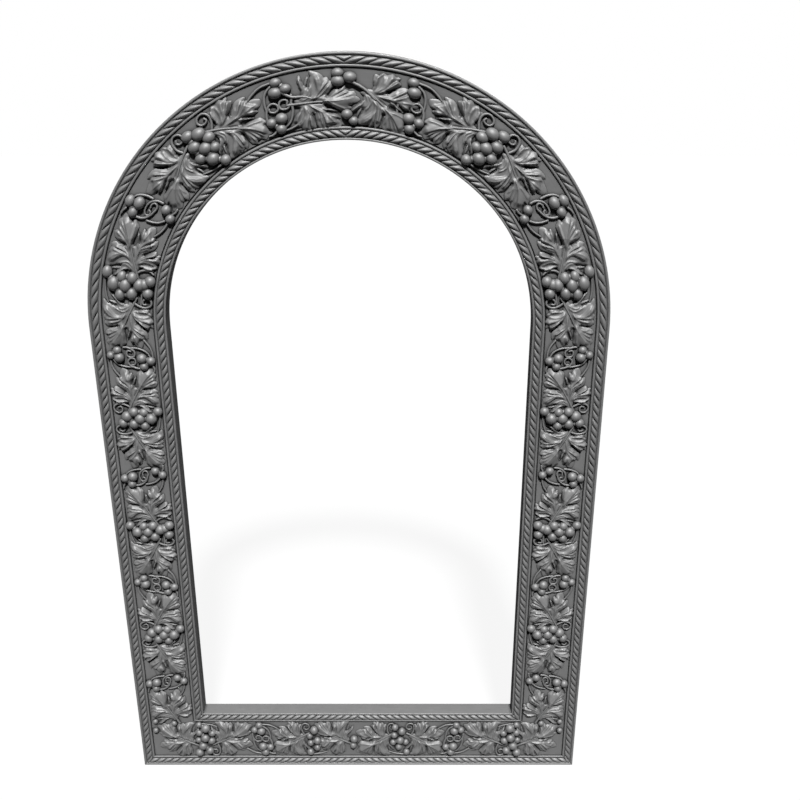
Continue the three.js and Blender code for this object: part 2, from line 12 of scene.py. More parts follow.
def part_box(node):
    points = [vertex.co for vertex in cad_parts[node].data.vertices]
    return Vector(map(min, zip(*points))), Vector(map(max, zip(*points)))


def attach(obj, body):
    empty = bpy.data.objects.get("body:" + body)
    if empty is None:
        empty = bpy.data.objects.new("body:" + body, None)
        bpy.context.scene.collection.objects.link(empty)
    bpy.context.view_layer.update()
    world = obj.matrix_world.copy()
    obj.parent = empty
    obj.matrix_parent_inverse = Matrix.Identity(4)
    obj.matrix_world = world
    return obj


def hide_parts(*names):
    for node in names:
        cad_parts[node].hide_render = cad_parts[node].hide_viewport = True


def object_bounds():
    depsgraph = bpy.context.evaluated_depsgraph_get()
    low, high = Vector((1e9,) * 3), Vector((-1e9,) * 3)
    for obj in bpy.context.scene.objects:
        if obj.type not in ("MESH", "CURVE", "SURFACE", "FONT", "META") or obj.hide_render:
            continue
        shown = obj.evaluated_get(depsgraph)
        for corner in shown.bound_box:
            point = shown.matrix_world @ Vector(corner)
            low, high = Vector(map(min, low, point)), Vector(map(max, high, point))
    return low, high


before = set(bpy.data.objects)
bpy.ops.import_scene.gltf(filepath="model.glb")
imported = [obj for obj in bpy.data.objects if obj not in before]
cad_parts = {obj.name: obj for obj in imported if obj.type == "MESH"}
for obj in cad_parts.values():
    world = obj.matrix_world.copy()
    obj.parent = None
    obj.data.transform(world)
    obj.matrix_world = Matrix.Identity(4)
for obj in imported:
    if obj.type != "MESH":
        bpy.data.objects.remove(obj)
cad_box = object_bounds()

MM = 0.001
ROOT = "frame_body"
SIDES = {"left": -1, "right": 1}

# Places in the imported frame, in metres: out is the distance in front of the wall plane
lowest, highest = cad_box
outer_radius = highest.x
foot = lowest.z
joint_gap = 0.3 * MM
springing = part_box("left_stile")[1].z + joint_gap / 2
sight_radius = -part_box("left_stile")[1].x
band_width = outer_radius - sight_radius
front_out = -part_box("left_stile")[0].y
quarter = sight_radius * math.pi / 2
side_limit = quarter + springing - foot

# Moulded section, across from the outer edge, and the hangers' pockets
outer_fillet = 3.0 * MM
seat_width = 7.2 * MM
seat_depth = 1.2 * MM
bead_width = 2.4 * MM
bead_rise = 0.9 * MM
outer_groove = 0.6 * MM
inner_groove = 1.1 * MM
bead_lean = 0.4 * MM
bead_steps = 9
ground_depth = 2.0 * MM
raised_above = 0.2 * MM
sight_fillet = 2.0 * MM
reveal_depth = 17.4 * MM
rebate_width = 8.0 * MM
ledge_width = 24.0 * MM
ledge_depth = 4.8 * MM
edge_round = 0.6 * MM
fillet_chamfer = 1.1 * MM
sight_round = 0.9 * MM
arch_steps = 31
pocket_margin = 2 * MM
pocket_past = 10 * MM
seat_out = front_out - seat_depth
ground_out = front_out - ground_depth
ground_start = outer_fillet + seat_width + bead_width
ground_end = band_width - sight_fillet - seat_width - bead_width
ground_centre = (ground_start + ground_end) / 2

# Rope mouldings
rope_pitch = 8.03 * MM
rope_lean = 0.92
rope_start = 0.28
rope_height = 2.5 * MM
rope_edge = 0.3
rope_groove = 0.95
rope_fullness = 1.7
rope_clearance = 0.5 * MM
rope_waist = 0.1
rope_sides = 14
rope_steps = 12

# Vine carving, drawn flat in millimetres: across from the middle of the ground, along, height
VINE_REPEAT = 128.1
FIRST_TENDRILS = 48.0
REPEATS_BELOW_CROWN = 5
BUNCH_ALONG = 64.5
CORNER_BUNCH = 177.0
MIDDLE_BUNCH = 50.0
MIDDLE_STRETCH = 0.94
SUNK = -0.4
NEIGHBOUR_REACH = 1.08
FILLING_SIZE = 0.62
GRAPE_POLE = 0.12
GRAPE_LIFT = 0.34
STEM_HEIGHT = 1.6

# Edges flatter than these angles, in degrees, are shaded smooth
SHARP_ANGLE = 40
LEAF_SHARP_ANGLE = 70

# Rounded ends of a stem, as shares of its radius
TIP_REACH = np.array([[0.9], [0.6]])
TIP_SIZE = np.array([0.35, 0.8])

# Where most of a noise texture's values lie
NOISE_SPAN = (0.3, 0.7)


# Forms: each is a pair of points and faces


def grid_faces(rows, columns, closed_rows=False, closed_columns=False):
    """Four-sided faces between rows of points."""
    row = np.arange(rows if closed_rows else rows - 1)
    column = np.arange(columns if closed_columns else columns - 1)
    near, left = np.meshgrid(row, column, indexing="ij")
    right = (left + 1) % columns
    far = (near + 1) % rows * columns
    near = near * columns
    corners = [near + left, near + right, far + right, far + left]
    return np.stack(corners, -1).reshape(-1, 4).tolist()


def swept(sections):
    """A closed body through matching closed sections."""
    rows, columns = sections.shape[:2]
    faces = grid_faces(rows, columns, closed_columns=True)
    faces.append(list(range(columns)))
    faces.append(list(range((rows - 1) * columns, rows * columns)))
    return sections.reshape(-1, 3), faces


def smooth_line(points, steps=8):
    """A smooth line through the points, with this many steps between each two."""
    knots = np.asarray(points, float)
    padded = np.vstack([2 * knots[0] - knots[1], knots, 2 * knots[-1] - knots[-2]])
    line = []
    for i in range(1, len(padded) - 2):
        a, b, c, d = padded[i - 1 : i + 3]
        for t in np.linspace(0, 1, steps, endpoint=False):
            bend = 2 * a - 5 * b + 4 * c - d
            twist = 3 * b - a - 3 * c + d
            line.append(b + 0.5 * t * (c - a + t * (bend + t * twist)))
    line.append(knots[-1])
    return np.array(line)


def tube(line, radius, end_radius, sides=10):
    """A round stem along a line, tapering to its end radius, with rounded ends."""
    line = np.asarray(line, float)
    share = np.linspace(0, 1, len(line))
    radii = radius + (end_radius - radius) * share
    ahead = np.gradient(line, axis=0)
    ahead /= np.linalg.norm(ahead, axis=1)[:, None]
    side = np.cross(ahead, (0, 0, 1))
    side /= np.linalg.norm(side, axis=1)[:, None]
    over = np.cross(side, ahead)
    first = line[0] - ahead[0] * radii[0] * TIP_REACH
    last = line[-1] + ahead[-1] * radii[-1] * TIP_REACH[::-1]
    line = np.vstack([first, line, last])
    radii = np.hstack([TIP_SIZE * radii[0], radii, TIP_SIZE[::-1] * radii[-1]])
    side, over = (np.pad(way, [(2, 2), (0, 0)], mode="edge") for way in (side, over))
    angle = np.linspace(0, 2 * np.pi, sides, endpoint=False)[None, :, None]
    rings = side[:, None] * np.cos(angle) + over[:, None] * np.sin(angle)
    return swept(line[:, None] + radii[:, None, None] * rings)


def joined(forms):
    points = []
    faces = []
    count = 0
    for form_points, form_faces in forms:
        points.append(form_points)
        faces.extend([[corner + count for corner in face] for face in form_faces])
        count += len(form_points)
    return np.vstack(points), faces


def shifted(form, across=0.0, along=0.0, flip_across=False, flip_along=False):
    points, faces = form
    hand = (-1 if flip_across else 1, -1 if flip_along else 1, 1)
    return points * hand + (across, along, 0), faces


def rotated(x, y, degrees):
    """Places in a plane, turned about its origin from x towards y."""
    turn = math.radians(degrees)
    return x * math.cos(turn) - y * math.sin(turn), x * math.sin(turn) + y * math.cos(turn)


# Places on the band


def band_point(side, across, path, out):
    """Path runs along the sight edge, from the crown over the arch and down a stile."""
    radius = outer_radius - across
    angle = np.minimum(path, quarter) / sight_radius
    drop = np.maximum(path - quarter, 0)
    x = side * radius * np.sin(angle)
    z = springing + radius * np.cos(angle) - drop
    return np.stack([x, -out, z], -1)


def rail_point(end, across, path, out):
    """Path runs along the bottom rail, from its middle."""
    return np.stack([end * path, -out, foot + across], -1)


def on_ground(point, side, mirror, along):
    """Sets a drawing on the sunk ground, with a rule for its places along."""

    def place(points):
        across = ground_centre + mirror * points[:, 0] * MM
        return point(side, across, along(points[:, 1]) * MM, ground_out + points[:, 2] * MM)

    return place


def on_side(side, mirror, start):
    return on_ground(band_point, side, mirror, lambda along: start + along)


def on_rail(end, mirror, bunch, stretch):
    return on_ground(rail_point, end, mirror, lambda along: bunch - (along - BUNCH_ALONG) * stretch)


# Materials


def new_material(name):
    material = bpy.data.materials.new(name)
    material.use_nodes = True
    return material, material.node_tree


def set_inputs(tree, node, inputs):
    """Sets each named input to a constant, or joins it to another node's output."""
    for name, value in inputs.items():
        if isinstance(value, bpy.types.NodeSocket):
            tree.links.new(value, node.inputs[name])
        else:
            node.inputs[name].default_value = value


def add_node(tree, kind, output, inputs=None, **settings):
    """The named output of a new node."""
    node = tree.nodes.new(kind)
    for name, value in settings.items():
        setattr(node, name, value)
    set_inputs(tree, node, inputs or {})
    return node.outputs[output]


def noise(tree, vector, scale, detail):
    inputs = {"Vector": vector, "Scale": scale, "Detail": detail}
    return add_node(tree, "ShaderNodeTexNoise", "Fac", inputs)


def stretched(tree, vector, scale):
    return add_node(tree, "ShaderNodeMapping", "Vector", {"Vector": vector, "Scale": scale})


def ranged(tree, value, low, high, to_low, to_high):
    inputs = {"Value": value, "From Min": low, "From Max": high, "To Min": to_low, "To Max": to_high}
    return add_node(tree, "ShaderNodeMapRange", "Result", inputs)


def combined(tree, operation, first, second):
    return add_node(tree, "ShaderNodeMath", "Value", {0: first, 1: second}, operation=operation)


def mixed_colour(tree, share, first, second):
    inputs = {"Factor": share, "A": (*first, 1), "B": (*second, 1)}
    return add_node(tree, "ShaderNodeMix", "Result", inputs, data_type="RGBA")


def bump(tree, height, strength, distance):
    inputs = {"Height": height, "Strength": strength, "Distance": distance}
    return add_node(tree, "ShaderNodeBump", "Normal", inputs)


def grey_paint(name, pale, roughness, metallic, gloss):
    """Grey paint on wood: streaks along the grain and mottling, with painted shade that darkens the
    colour in hollows, creases and between parts.
    """
    material, tree = new_material(name)
    place = add_node(tree, "ShaderNodeTexCoord", "Object")
    band = add_node(tree, "ShaderNodeAttribute", "Vector", attribute_name="band")
    grain = noise(tree, stretched(tree, band, (900, 40, 900)), scale=1, detail=4)
    mottle = noise(tree, place, scale=60, detail=3)
    speckle = noise(tree, place, scale=1500, detail=2)
    # Ambient occlusion darkens the base colour in hollows, creases and between parts: this is painted
    # shade.
    hollow = add_node(tree, "ShaderNodeAmbientOcclusion", "AO", {"Distance": 5 * MM}, samples=8)
    unshaded_share = ranged(tree, hollow, 0.3, 0.9, 0, 1)
    streaks = ranged(tree, grain, *NOISE_SPAN, 0.9, 1.0)
    patches = ranged(tree, mottle, *NOISE_SPAN, 0.9, 1.0)
    # The paint's own grain streaks and mottling, times the painted shade of the hollows.
    shaded_tone = combined(tree, "MULTIPLY", unshaded_share, combined(tree, "MULTIPLY", streaks, patches))
    height = combined(tree, "ADD", grain, speckle)
    set_inputs(tree, tree.nodes["Principled BSDF"], {
        # The near-black end of this mix is where the painted shade is deepest.
        "Base Color": mixed_colour(tree, shaded_tone, (0.02, 0.02, 0.02), (pale, pale, pale)),
        "Roughness": ranged(tree, mottle, *NOISE_SPAN, roughness - 0.04, roughness + 0.04),
        "Metallic": metallic,
        "Specular IOR Level": gloss,
        "Normal": bump(tree, height, strength=0.12, distance=0.15 * MM),
    })
    return material


def spline_wood():
    """Planed bare wood for the loose splines inside the joints."""
    material, tree = new_material("planed_spline_wood")
    place = add_node(tree, "ShaderNodeTexCoord", "Object")
    grain = noise(tree, stretched(tree, place, (60, 900, 900)), scale=1, detail=5)
    set_inputs(tree, tree.nodes["Principled BSDF"], {
        "Base Color": mixed_colour(tree, grain, (0.30, 0.19, 0.09), (0.52, 0.37, 0.20)),
        "Roughness": ranged(tree, grain, *NOISE_SPAN, 0.6, 0.75),
        "Normal": bump(tree, grain, strength=0.2, distance=0.1 * MM),
    })
    return material


def zinc_plate():
    """Zinc-plated steel: fine spangle, stains and scratches."""
    material, tree = new_material("zinc_plated_steel")
    place = add_node(tree, "ShaderNodeTexCoord", "Object")
    spangle = add_node(tree, "ShaderNodeTexVoronoi", "Color", {"Vector": place, "Scale": 700})
    cells = add_node(tree, "ShaderNodeSeparateColor", "Red", {"Color": spangle})
    tarnish = noise(tree, place, scale=250, detail=4)
    scratches = noise(tree, place, scale=2500, detail=2)
    flakes = ranged(tree, cells, 0, 1, 0.75, 1)
    stains = ranged(tree, tarnish, 0.35, 0.65, 0.6, 1)
    share = combined(tree, "MULTIPLY", flakes, stains)
    set_inputs(tree, tree.nodes["Principled BSDF"], {
        "Base Color": mixed_colour(tree, share, (0.22, 0.22, 0.23), (0.58, 0.60, 0.63)),
        "Metallic": 1,
        "Roughness": ranged(tree, tarnish, *NOISE_SPAN, 0.45, 0.28),
        "Normal": bump(tree, scratches, strength=0.15, distance=0.05 * MM),
    })
    return material


paint = grey_paint("satin_painted_carving", pale=0.34, roughness=0.57, metallic=0.42, gloss=0.5)
field_paint = grey_paint("matte_painted_wood", pale=0.22, roughness=0.8, metallic=0.0, gloss=0.1)
zinc = zinc_plate()
bare_wood = spline_wood()


# Pieces


def scene_object(name, data):
    """A new object in the scene that shows the data."""
    made = bpy.data.objects.new(name, data)
    bpy.context.scene.collection.objects.link(made)
    return made


def new_object(name, points, faces):
    mesh = bpy.data.meshes.new(name)
    mesh.from_pydata(points.tolist(), [], faces)
    return scene_object(name, mesh)


def finish_mesh(mesh, sharp_angle=SHARP_ANGLE):
    """Turns the faces outwards and shades them smooth but for sharp edges."""
    shape = bmesh.new()
    shape.from_mesh(mesh)
    bmesh.ops.recalc_face_normals(shape, faces=shape.faces)
    shape.to_mesh(mesh)
    shape.free()
    mesh.polygons.foreach_set("use_smooth", [True] * len(mesh.polygons))
    mesh.set_sharp_from_angle(angle=math.radians(sharp_angle))


def add_piece(node, form, place, material, body=ROOT, sharp_angle=SHARP_ANGLE):
    """One visible piece that stands for a CAD node and rides with its body."""
    points, faces = form
    piece = new_object(f"{node}_detail", place(points), faces)
    band = piece.data.attributes.new("band", "FLOAT_VECTOR", "POINT")
    band.data.foreach_set("vector", (points * MM).astype(np.float32).ravel())
    finish_mesh(piece.data, sharp_angle)
    piece.data.materials.append(material)
    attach(piece, body)
    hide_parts(node)
    return piece


def add_carving(node, form, place, sharp_angle=SHARP_ANGLE):
    return add_piece(node, form, place, paint, sharp_angle=sharp_angle)


def add_member(node, form, place):
    """A member in matte paint, with the satin paint on its beads and fillets."""
    member = add_piece(node, form, place, field_paint)
    member.data.materials.append(paint)
    for face in member.data.polygons:
        face.material_index = int(-face.center.y > seat_out + raised_above)
    return member


# Members


def rounded(corners, steps=3):
    """An outline with arcs at its corners. Each corner is (across, out, radius)."""
    outline = []
    count = len(corners)
    for i, (across, out, radius) in enumerate(corners):
        corner = np.array([across, out])
        if radius == 0:
            outline.append(corner)
            continue
        before = np.array(corners[i - 1][:2]) - corner
        after = np.array(corners[(i + 1) % count][:2]) - corner
        start = corner + before / np.linalg.norm(before) * radius
        end = corner + after / np.linalg.norm(after) * radius
        for t in np.linspace(0, 1, steps + 1):
            outline.append((1 - t) ** 2 * start + 2 * t * (1 - t) * corner + t**2 * end)
    return np.array(outline)


def bead_corners(rope_side, ground_way, groove):
    """A round bead beside a rope's seat, with a groove between it and the ground."""
    half = bead_width / 2
    groove_out = ground_out - groove
    groove_foot = rope_side + ground_way * (bead_width + bead_lean)
    corners = []
    for angle in np.linspace(0, math.pi, bead_steps):
        across = rope_side + ground_way * half * (1 - math.cos(angle))
        corners.append((across, seat_out + bead_rise * math.sin(angle), 0))
    corners.append((groove_foot, groove_out, 0))
    corners.append((groove_foot + ground_way * groove, ground_out, 0))
    return corners[::ground_way]


def member_outline():
    """The member's section from its back outer corner, with its rebate and the buttons' ledge."""
    inner_seat_end = band_width - sight_fillet
    inner_seat = inner_seat_end - seat_width
    rebate = band_width - rebate_width
    ledge = rebate - ledge_width
    lip_out = front_out - reveal_depth
    return rounded([
        (0, 0, edge_round),
        (0, front_out, fillet_chamfer),
        (outer_fillet - fillet_chamfer, front_out, edge_round / 2),
        (outer_fillet, front_out - fillet_chamfer, 0),
        (outer_fillet, seat_out, 0),
        *bead_corners(outer_fillet + seat_width, 1, outer_groove),
        *bead_corners(inner_seat, -1, inner_groove),
        (inner_seat_end, seat_out, 0),
        (inner_seat_end, front_out, sight_round),
        (band_width, front_out, sight_round),
        (band_width, lip_out, edge_round / 2),
        (rebate, lip_out, 0),
        (rebate, ledge_depth, edge_round / 2),
        (ledge, ledge_depth, 0),
        (ledge, 0, edge_round / 2),
    ])


member_section = member_outline()


def section(path):
    """The member's section where its path is a number, or a rule of the place across."""
    across, out = member_section.T
    along = path(across) if callable(path) else np.full_like(across, path)
    return np.stack([across, along, out], -1)


def in_millimetres(form):
    points, faces = form
    return points / MM, faces


def in_place(point, side):
    return lambda points: point(side, *(points.T * MM))


def cut(piece, cutter):
    """Takes the cutter's volume out of a piece for good."""
    boolean = piece.modifiers.new("pocket", "BOOLEAN")
    boolean.object = cutter
    boolean.solver = "EXACT"
    shaped = piece.evaluated_get(bpy.context.evaluated_depsgraph_get())
    mesh = bpy.data.meshes.new_from_object(shaped)
    piece.modifiers.clear()
    piece.data = mesh
    mesh.name = piece.name
    bpy.data.objects.remove(cutter)


def box_cutter(low, high):
    corners = np.array(list(itertools.product((0, 1), repeat=3)))
    faces = [(0, 1, 3, 2), (4, 6, 7, 5), (0, 4, 5, 1), (2, 3, 7, 6), (0, 2, 6, 4), (1, 5, 7, 3)]
    low, high = np.array(low), np.array(high)
    return new_object("pocket_cutter", low + corners * (high - low), faces)


def add_members():
    arch_names = ["arch_left", "arch_crown", "arch_right"]
    segment = 2 * quarter / len(arch_names)
    for index, name in enumerate(arch_names):
        start = -quarter + index * segment
        paths = np.linspace(start, start + segment, arch_steps)
        # Paths run towards +X here, so those of the left half are negative
        form = swept(np.array([section(path) for path in paths]))
        add_member(name, in_millimetres(form), in_place(band_point, 1))
    for side_name, side in SIDES.items():
        form = swept(np.array([section(quarter), section(lambda across: side_limit - across)]))
        stile = add_member(f"{side_name}_stile", in_millimetres(form), in_place(band_point, side))
        strap_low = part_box(f"hanger_strap_{side_name}")[0]
        ring_low, ring_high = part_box(f"hanger_ring_{side_name}")
        bar_height = strap_low.z + (BAR_Z - STRAP_END) * MM
        raised_ring = 2 * bar_height - ring_low.z
        low = (ring_low.x - pocket_margin, strap_low.y - joint_gap, strap_low.z - pocket_margin)
        high = (ring_high.x + pocket_margin, pocket_past, raised_ring + pocket_margin)
        cut(stile, box_cutter(low, high))
    ends = [section(lambda across: end * (outer_radius - across)) for end in (-1, 1)]
    add_member("bottom_rail", in_millimetres(swept(np.array(ends))), in_place(rail_point, 1))


# Rope mouldings


def rope(seat, limit):
    """A half-round twisted run, cut square at its start and mitred at its end."""
    half_width = seat_width / 2 - rope_clearance
    middle = seat + seat_width / 2
    reach = np.linspace(-1, 1, rope_sides + 1)
    lift = np.hstack([0, 1 - (1 - rope_edge) * reach**2, 0])
    reach = np.hstack([-1, reach, 1])
    strands = np.arange(-1, math.ceil(limit / rope_pitch) + 1, 1 / rope_steps)
    phase, lift = np.meshgrid(strands, lift, indexing="ij")
    place = 2 * np.mod(phase, 1) - 1
    swell = 1 - rope_groove * (1 - np.sqrt(1 - np.abs(place) ** rope_fullness))
    across = middle + half_width * reach * (1 - rope_waist + rope_waist * swell)
    out = seat_out + rope_height * lift * swell
    path = (phase + rope_start - rope_lean * reach / 2) * rope_pitch
    points, faces = swept(np.stack([across, path, out], -1))
    shape = bmesh.new()
    corners = [shape.verts.new(point) for point in points]
    for face in faces:
        shape.faces.new([corners[i] for i in face])
    for spot, normal in [((0, 0, 0), (0, -1, 0)), ((0, limit, 0), (1, 1, 0))]:
        geometry = shape.verts[:] + shape.edges[:] + shape.faces[:]
        bmesh.ops.bisect_plane(shape, geom=geometry, plane_co=spot, plane_no=normal, clear_outer=True)
        open_edges = [edge for edge in shape.edges if edge.is_boundary]
        bmesh.ops.holes_fill(shape, edges=open_edges, sides=0)
    shape.verts.index_update()
    cut_points = np.array([vertex.co for vertex in shape.verts])
    cut_faces = [[vertex.index for vertex in face.verts] for face in shape.faces]
    shape.free()
    return cut_points, cut_faces


def add_ropes():
    seats = {"outer": outer_fillet, "inner": band_width - sight_fillet - seat_width}
    for edge, seat in seats.items():
        side_run = in_millimetres(rope(seat, side_limit))
        bottom_run = in_millimetres(rope(seat, outer_radius))
        for side_name, side in SIDES.items():
            add_carving(f"{edge}_rope_{side_name}", side_run, in_place(band_point, side))
            add_carving(f"{edge}_rope_bottom_{side_name}", bottom_run, in_place(rail_point, side))


# Vine carving


def grape(across, along, radius, sides=20, levels=13):
    """A round grape, sunk a little into the ground."""
    turn = np.linspace(0, 2 * np.pi, sides, endpoint=False)
    rise = np.linspace(-np.pi / 2 + GRAPE_POLE, np.pi / 2 - GRAPE_POLE, levels)
    ring, level = np.meshgrid(turn, rise)
    reach = radius * np.cos(level)
    height = radius * (GRAPE_LIFT + np.sin(level))
    return swept(np.stack([across + reach * np.cos(ring), along + reach * np.sin(ring), height], -1))


def stem(points, radius, end_radius, height=STEM_HEIGHT):
    """A stem over the ground: each point is (across, along) or (across, along, height)."""
    raised = [(*point, height)[:3] for point in points]
    return tube(smooth_line(raised), radius, end_radius)


def line_distance(spots, line):
    """Each spot's distance to a line, the side it lies on, and how far along its nearest point is."""
    best = np.full(len(spots), np.inf)
    side = np.zeros(len(spots))
    share = np.zeros(len(spots))
    lengths = np.linalg.norm(np.diff(line, axis=0), axis=1)
    run = 0.0
    for start, end, length in zip(line, line[1:], lengths):
        ahead = (end - start) / length
        step = np.clip((spots - start) @ ahead, 0, length)
        off = spots - start - step[:, None] * ahead
        distance = np.linalg.norm(off, axis=1)
        nearer = distance < best
        best = np.where(nearer, distance, best)
        side = np.where(nearer, np.sign(ahead[0] * off[:, 1] - ahead[1] * off[:, 0]), side)
        share = np.where(nearer, (run + step) / lengths.sum(), share)
        run += length
    return best, side, share


def edge_distance(spots, outline):
    """A softened distance to the outline, so that no crease runs down the middle of a lobe."""
    near = np.zeros(len(spots))
    for start, end in zip(outline, np.roll(outline, -1, axis=0)):
        distance = line_distance(spots, np.array([start, end]))[0]
        near += SHORT_SIDE_SHARE * np.exp(-EDGE_SOFTNESS * distance)
    return np.maximum(-np.log(near) / EDGE_SOFTNESS, 0) + EDGE_LEAST


def scalloped(corners):
    """Anticlockwise corners as an outline whose sides swell outwards, but for those in a slit."""
    corners = np.array(corners, float)
    shares = np.arange(SIDE_PARTS)[:, None] / SIDE_PARTS
    outline = []
    for start, end in zip(corners, np.roll(corners, -1, axis=0)):
        side = end - start
        swell = side[::-1] * (1, -1) * LEAF_SWELL
        bow = swell * 4 * shares * (1 - shares)
        straight = start + side * shares
        crowded = inside(straight[1:] + SLIT_REACH * bow[1:], corners).any()
        outline.append(straight if crowded else straight + bow)
    return np.vstack(outline)


def leaf_height(spots):
    """Height of the leaf: a low dome with soft edges, and folds that narrow towards its hub."""
    edge = edge_distance(spots, scalloped(LEAF_OUTLINE))
    reach = np.linalg.norm(spots - LEAF_HUB, axis=1)
    cushion = CUSHION_RISE * (1 - np.exp(-edge / CUSHION_WIDTH))
    height = LEAF_CROWN - LEAF_FALL * (reach / LEAF_REACH) ** 2 + cushion
    fan = np.clip(reach / FAN_REACH, *FAN_LIMITS)
    for line, rise, left, right in LEAF_FOLDS:
        distance, side, share = line_distance(spots, smooth_line(line, FOLD_STEPS))
        width = fan * (left + (right - left) * (0.5 + 0.5 * np.tanh(side * distance)))
        width = np.maximum(width, LEAF_FINEST)
        ends = np.clip(np.minimum(share, 1 - share) / FOLD_END, 0, 1)
        ends = ends**2 * (3 - 2 * ends)
        height += LEAF_DEPTH * fan * rise * ends * np.exp(-((distance / width) ** 2))
    rounding = 1 - np.exp(-edge / RIM_WIDTH)
    return np.maximum(LEAF_RIM + (height - LEAF_RIM) * rounding, LEAF_LEAST)


def inside(spots, outline):
    """Whether each spot lies within the outline."""
    count = np.zeros(len(spots), int)
    for (x0, y0), (x1, y1) in zip(outline, np.roll(outline, -1, axis=0)):
        if y0 == y1:
            continue
        level = (spots[:, 1] >= min(y0, y1)) & (spots[:, 1] < max(y0, y1))
        count += level & (spots[:, 0] < x0 + (spots[:, 1] - y0) * (x1 - x0) / (y1 - y0))
    return count % 2 == 1


def leaf_sheet():
    """The leaf's carved face as a fine net, closed by walls and a floor just under the ground."""
    outline = scalloped(LEAF_OUTLINE)
    rim = []
    for start, end in zip(outline, np.roll(outline, -1, axis=0)):
        parts = math.ceil(np.linalg.norm(end - start) / LEAF_NET)
        rim += [start + (end - start) * part / parts for part in range(parts)]
    rim = np.array(rim)
    low, high = rim.min(axis=0), rim.max(axis=0)
    rows = np.arange(low[1], high[1], LEAF_NET * math.sqrt(3) / 2)
    columns = np.arange(low[0], high[0], LEAF_NET)
    across, along = np.meshgrid(columns, rows)
    across[1::2] += LEAF_NET / 2
    net = np.stack([across.ravel(), along.ravel()], -1)
    net = net[inside(net, rim)]
    closed = np.vstack([rim, rim[:1]])
    net = net[line_distance(net, closed)[0] > RIM_CLEARANCE * LEAF_NET]
    flat = [Vector(spot) for spot in np.vstack([rim, net]).tolist()]
    edge = list(range(len(rim)))
    flat, _, faces, *_ = delaunay_2d_cdt(flat, [], [edge], WITHIN_RIM, MERGE_DISTANCE)
    flat = np.array(flat)
    points = np.column_stack([flat, leaf_height(flat)])
    floor = np.column_stack([rim, np.full(len(rim), SUNK)])
    count = len(points)
    faces = [list(face) for face in faces]
    for i in edge:
        following = (i + 1) % len(rim)
        faces.append([i, following, count + following, count + i])
    faces.append([count + i for i in edge])
    return np.vstack([points, floor]), faces


# The one leaf of the vine: its net and rim, its dome, its folds and its outline
LEAF_REACH = 27.0
LEAF_NET = 0.45
LEAF_DEPTH = 1.4
LEAF_FINEST = 0.8
LEAF_SWELL = 0.07
SLIT_REACH = 3.0
SIDE_PARTS = 4
RIM_CLEARANCE = 0.45
MERGE_DISTANCE = 1e-5
WITHIN_RIM = 1
EDGE_SOFTNESS = 2.2
EDGE_LEAST = 0.05
LEAF_CROWN = 2.1
LEAF_FALL = 0.7
CUSHION_RISE = 0.5
CUSHION_WIDTH = 2.5
LEAF_RIM = 0.8
RIM_WIDTH = 0.5
LEAF_LEAST = 0.3
FAN_REACH = 14
FAN_LIMITS = (0.5, 1.1)
FOLD_STEPS = 4
FOLD_END = 0.2
SHORT_SIDE_SHARE = 0.62
LEAF_SIZE = 1.03
LEAF_HUB = (0.5, 42)
LEAF_OUTLINE = [
    (-6, 53), (-7.6, 47.8), (-10.5, 47.4), (-13, 48.6), (-16, 49.4), (-20.2, 49), (-20, 46.4),
    (-23, 44.4), (-21.8, 41.6), (-24.4, 38.2), (-22.8, 36), (-23.4, 32.6), (-20.4, 33.4), (-18.4, 30.4),
    (-13.6, 33.6), (-9.8, 37.6), (-8.2, 37.4), (-8.6, 35.8), (-12.8, 32.8), (-16.6, 29.6),
    (-17.6, 25.6), (-16.8, 21.4), (-14.2, 23.2), (-13, 19.2), (-10.6, 12.6), (-6.8, 13.6), (-4.6, 15.8),
    (-3.8, 18.6), (-1.8, 17), (-0.8, 20), (-1.4, 24.6), (-2.6, 28.8), (-1.2, 26), (0.4, 22.8),
    (2.2, 21), (1.6, 25.4), (-0.2, 29.6), (0.4, 32), (1.8, 32.8), (3.2, 31.8), (3.4, 29), (2.8, 24),
    (3, 18), (5.4, 15.8), (9.2, 13.4), (10, 16.4), (13, 15), (18.6, 12.6), (19.4, 16.8), (21.8, 19.6),
    (19.8, 23), (19.6, 26), (22.2, 27.8), (20.2, 31.6), (14.6, 33), (9.8, 33.4), (8.8, 34.2), (9.8, 35),
    (14.6, 34.4), (18.6, 34), (22, 36.6), (20.4, 38.4), (22.2, 42), (20.8, 43), (22.6, 46.6),
    (22.6, 51), (21.8, 54.4), (18, 51.6), (13.6, 50), (10.2, 49.2), (9, 50), (9.6, 51), (13.6, 51.8),
    (17.8, 53.4), (14.4, 53.6), (9.8, 52.6), (12.8, 55.6), (16.4, 59), (12.4, 58.8), (8.6, 56.2),
    (5.4, 53), (2.4, 51.6), (-0.6, 52), (-3, 55),
]
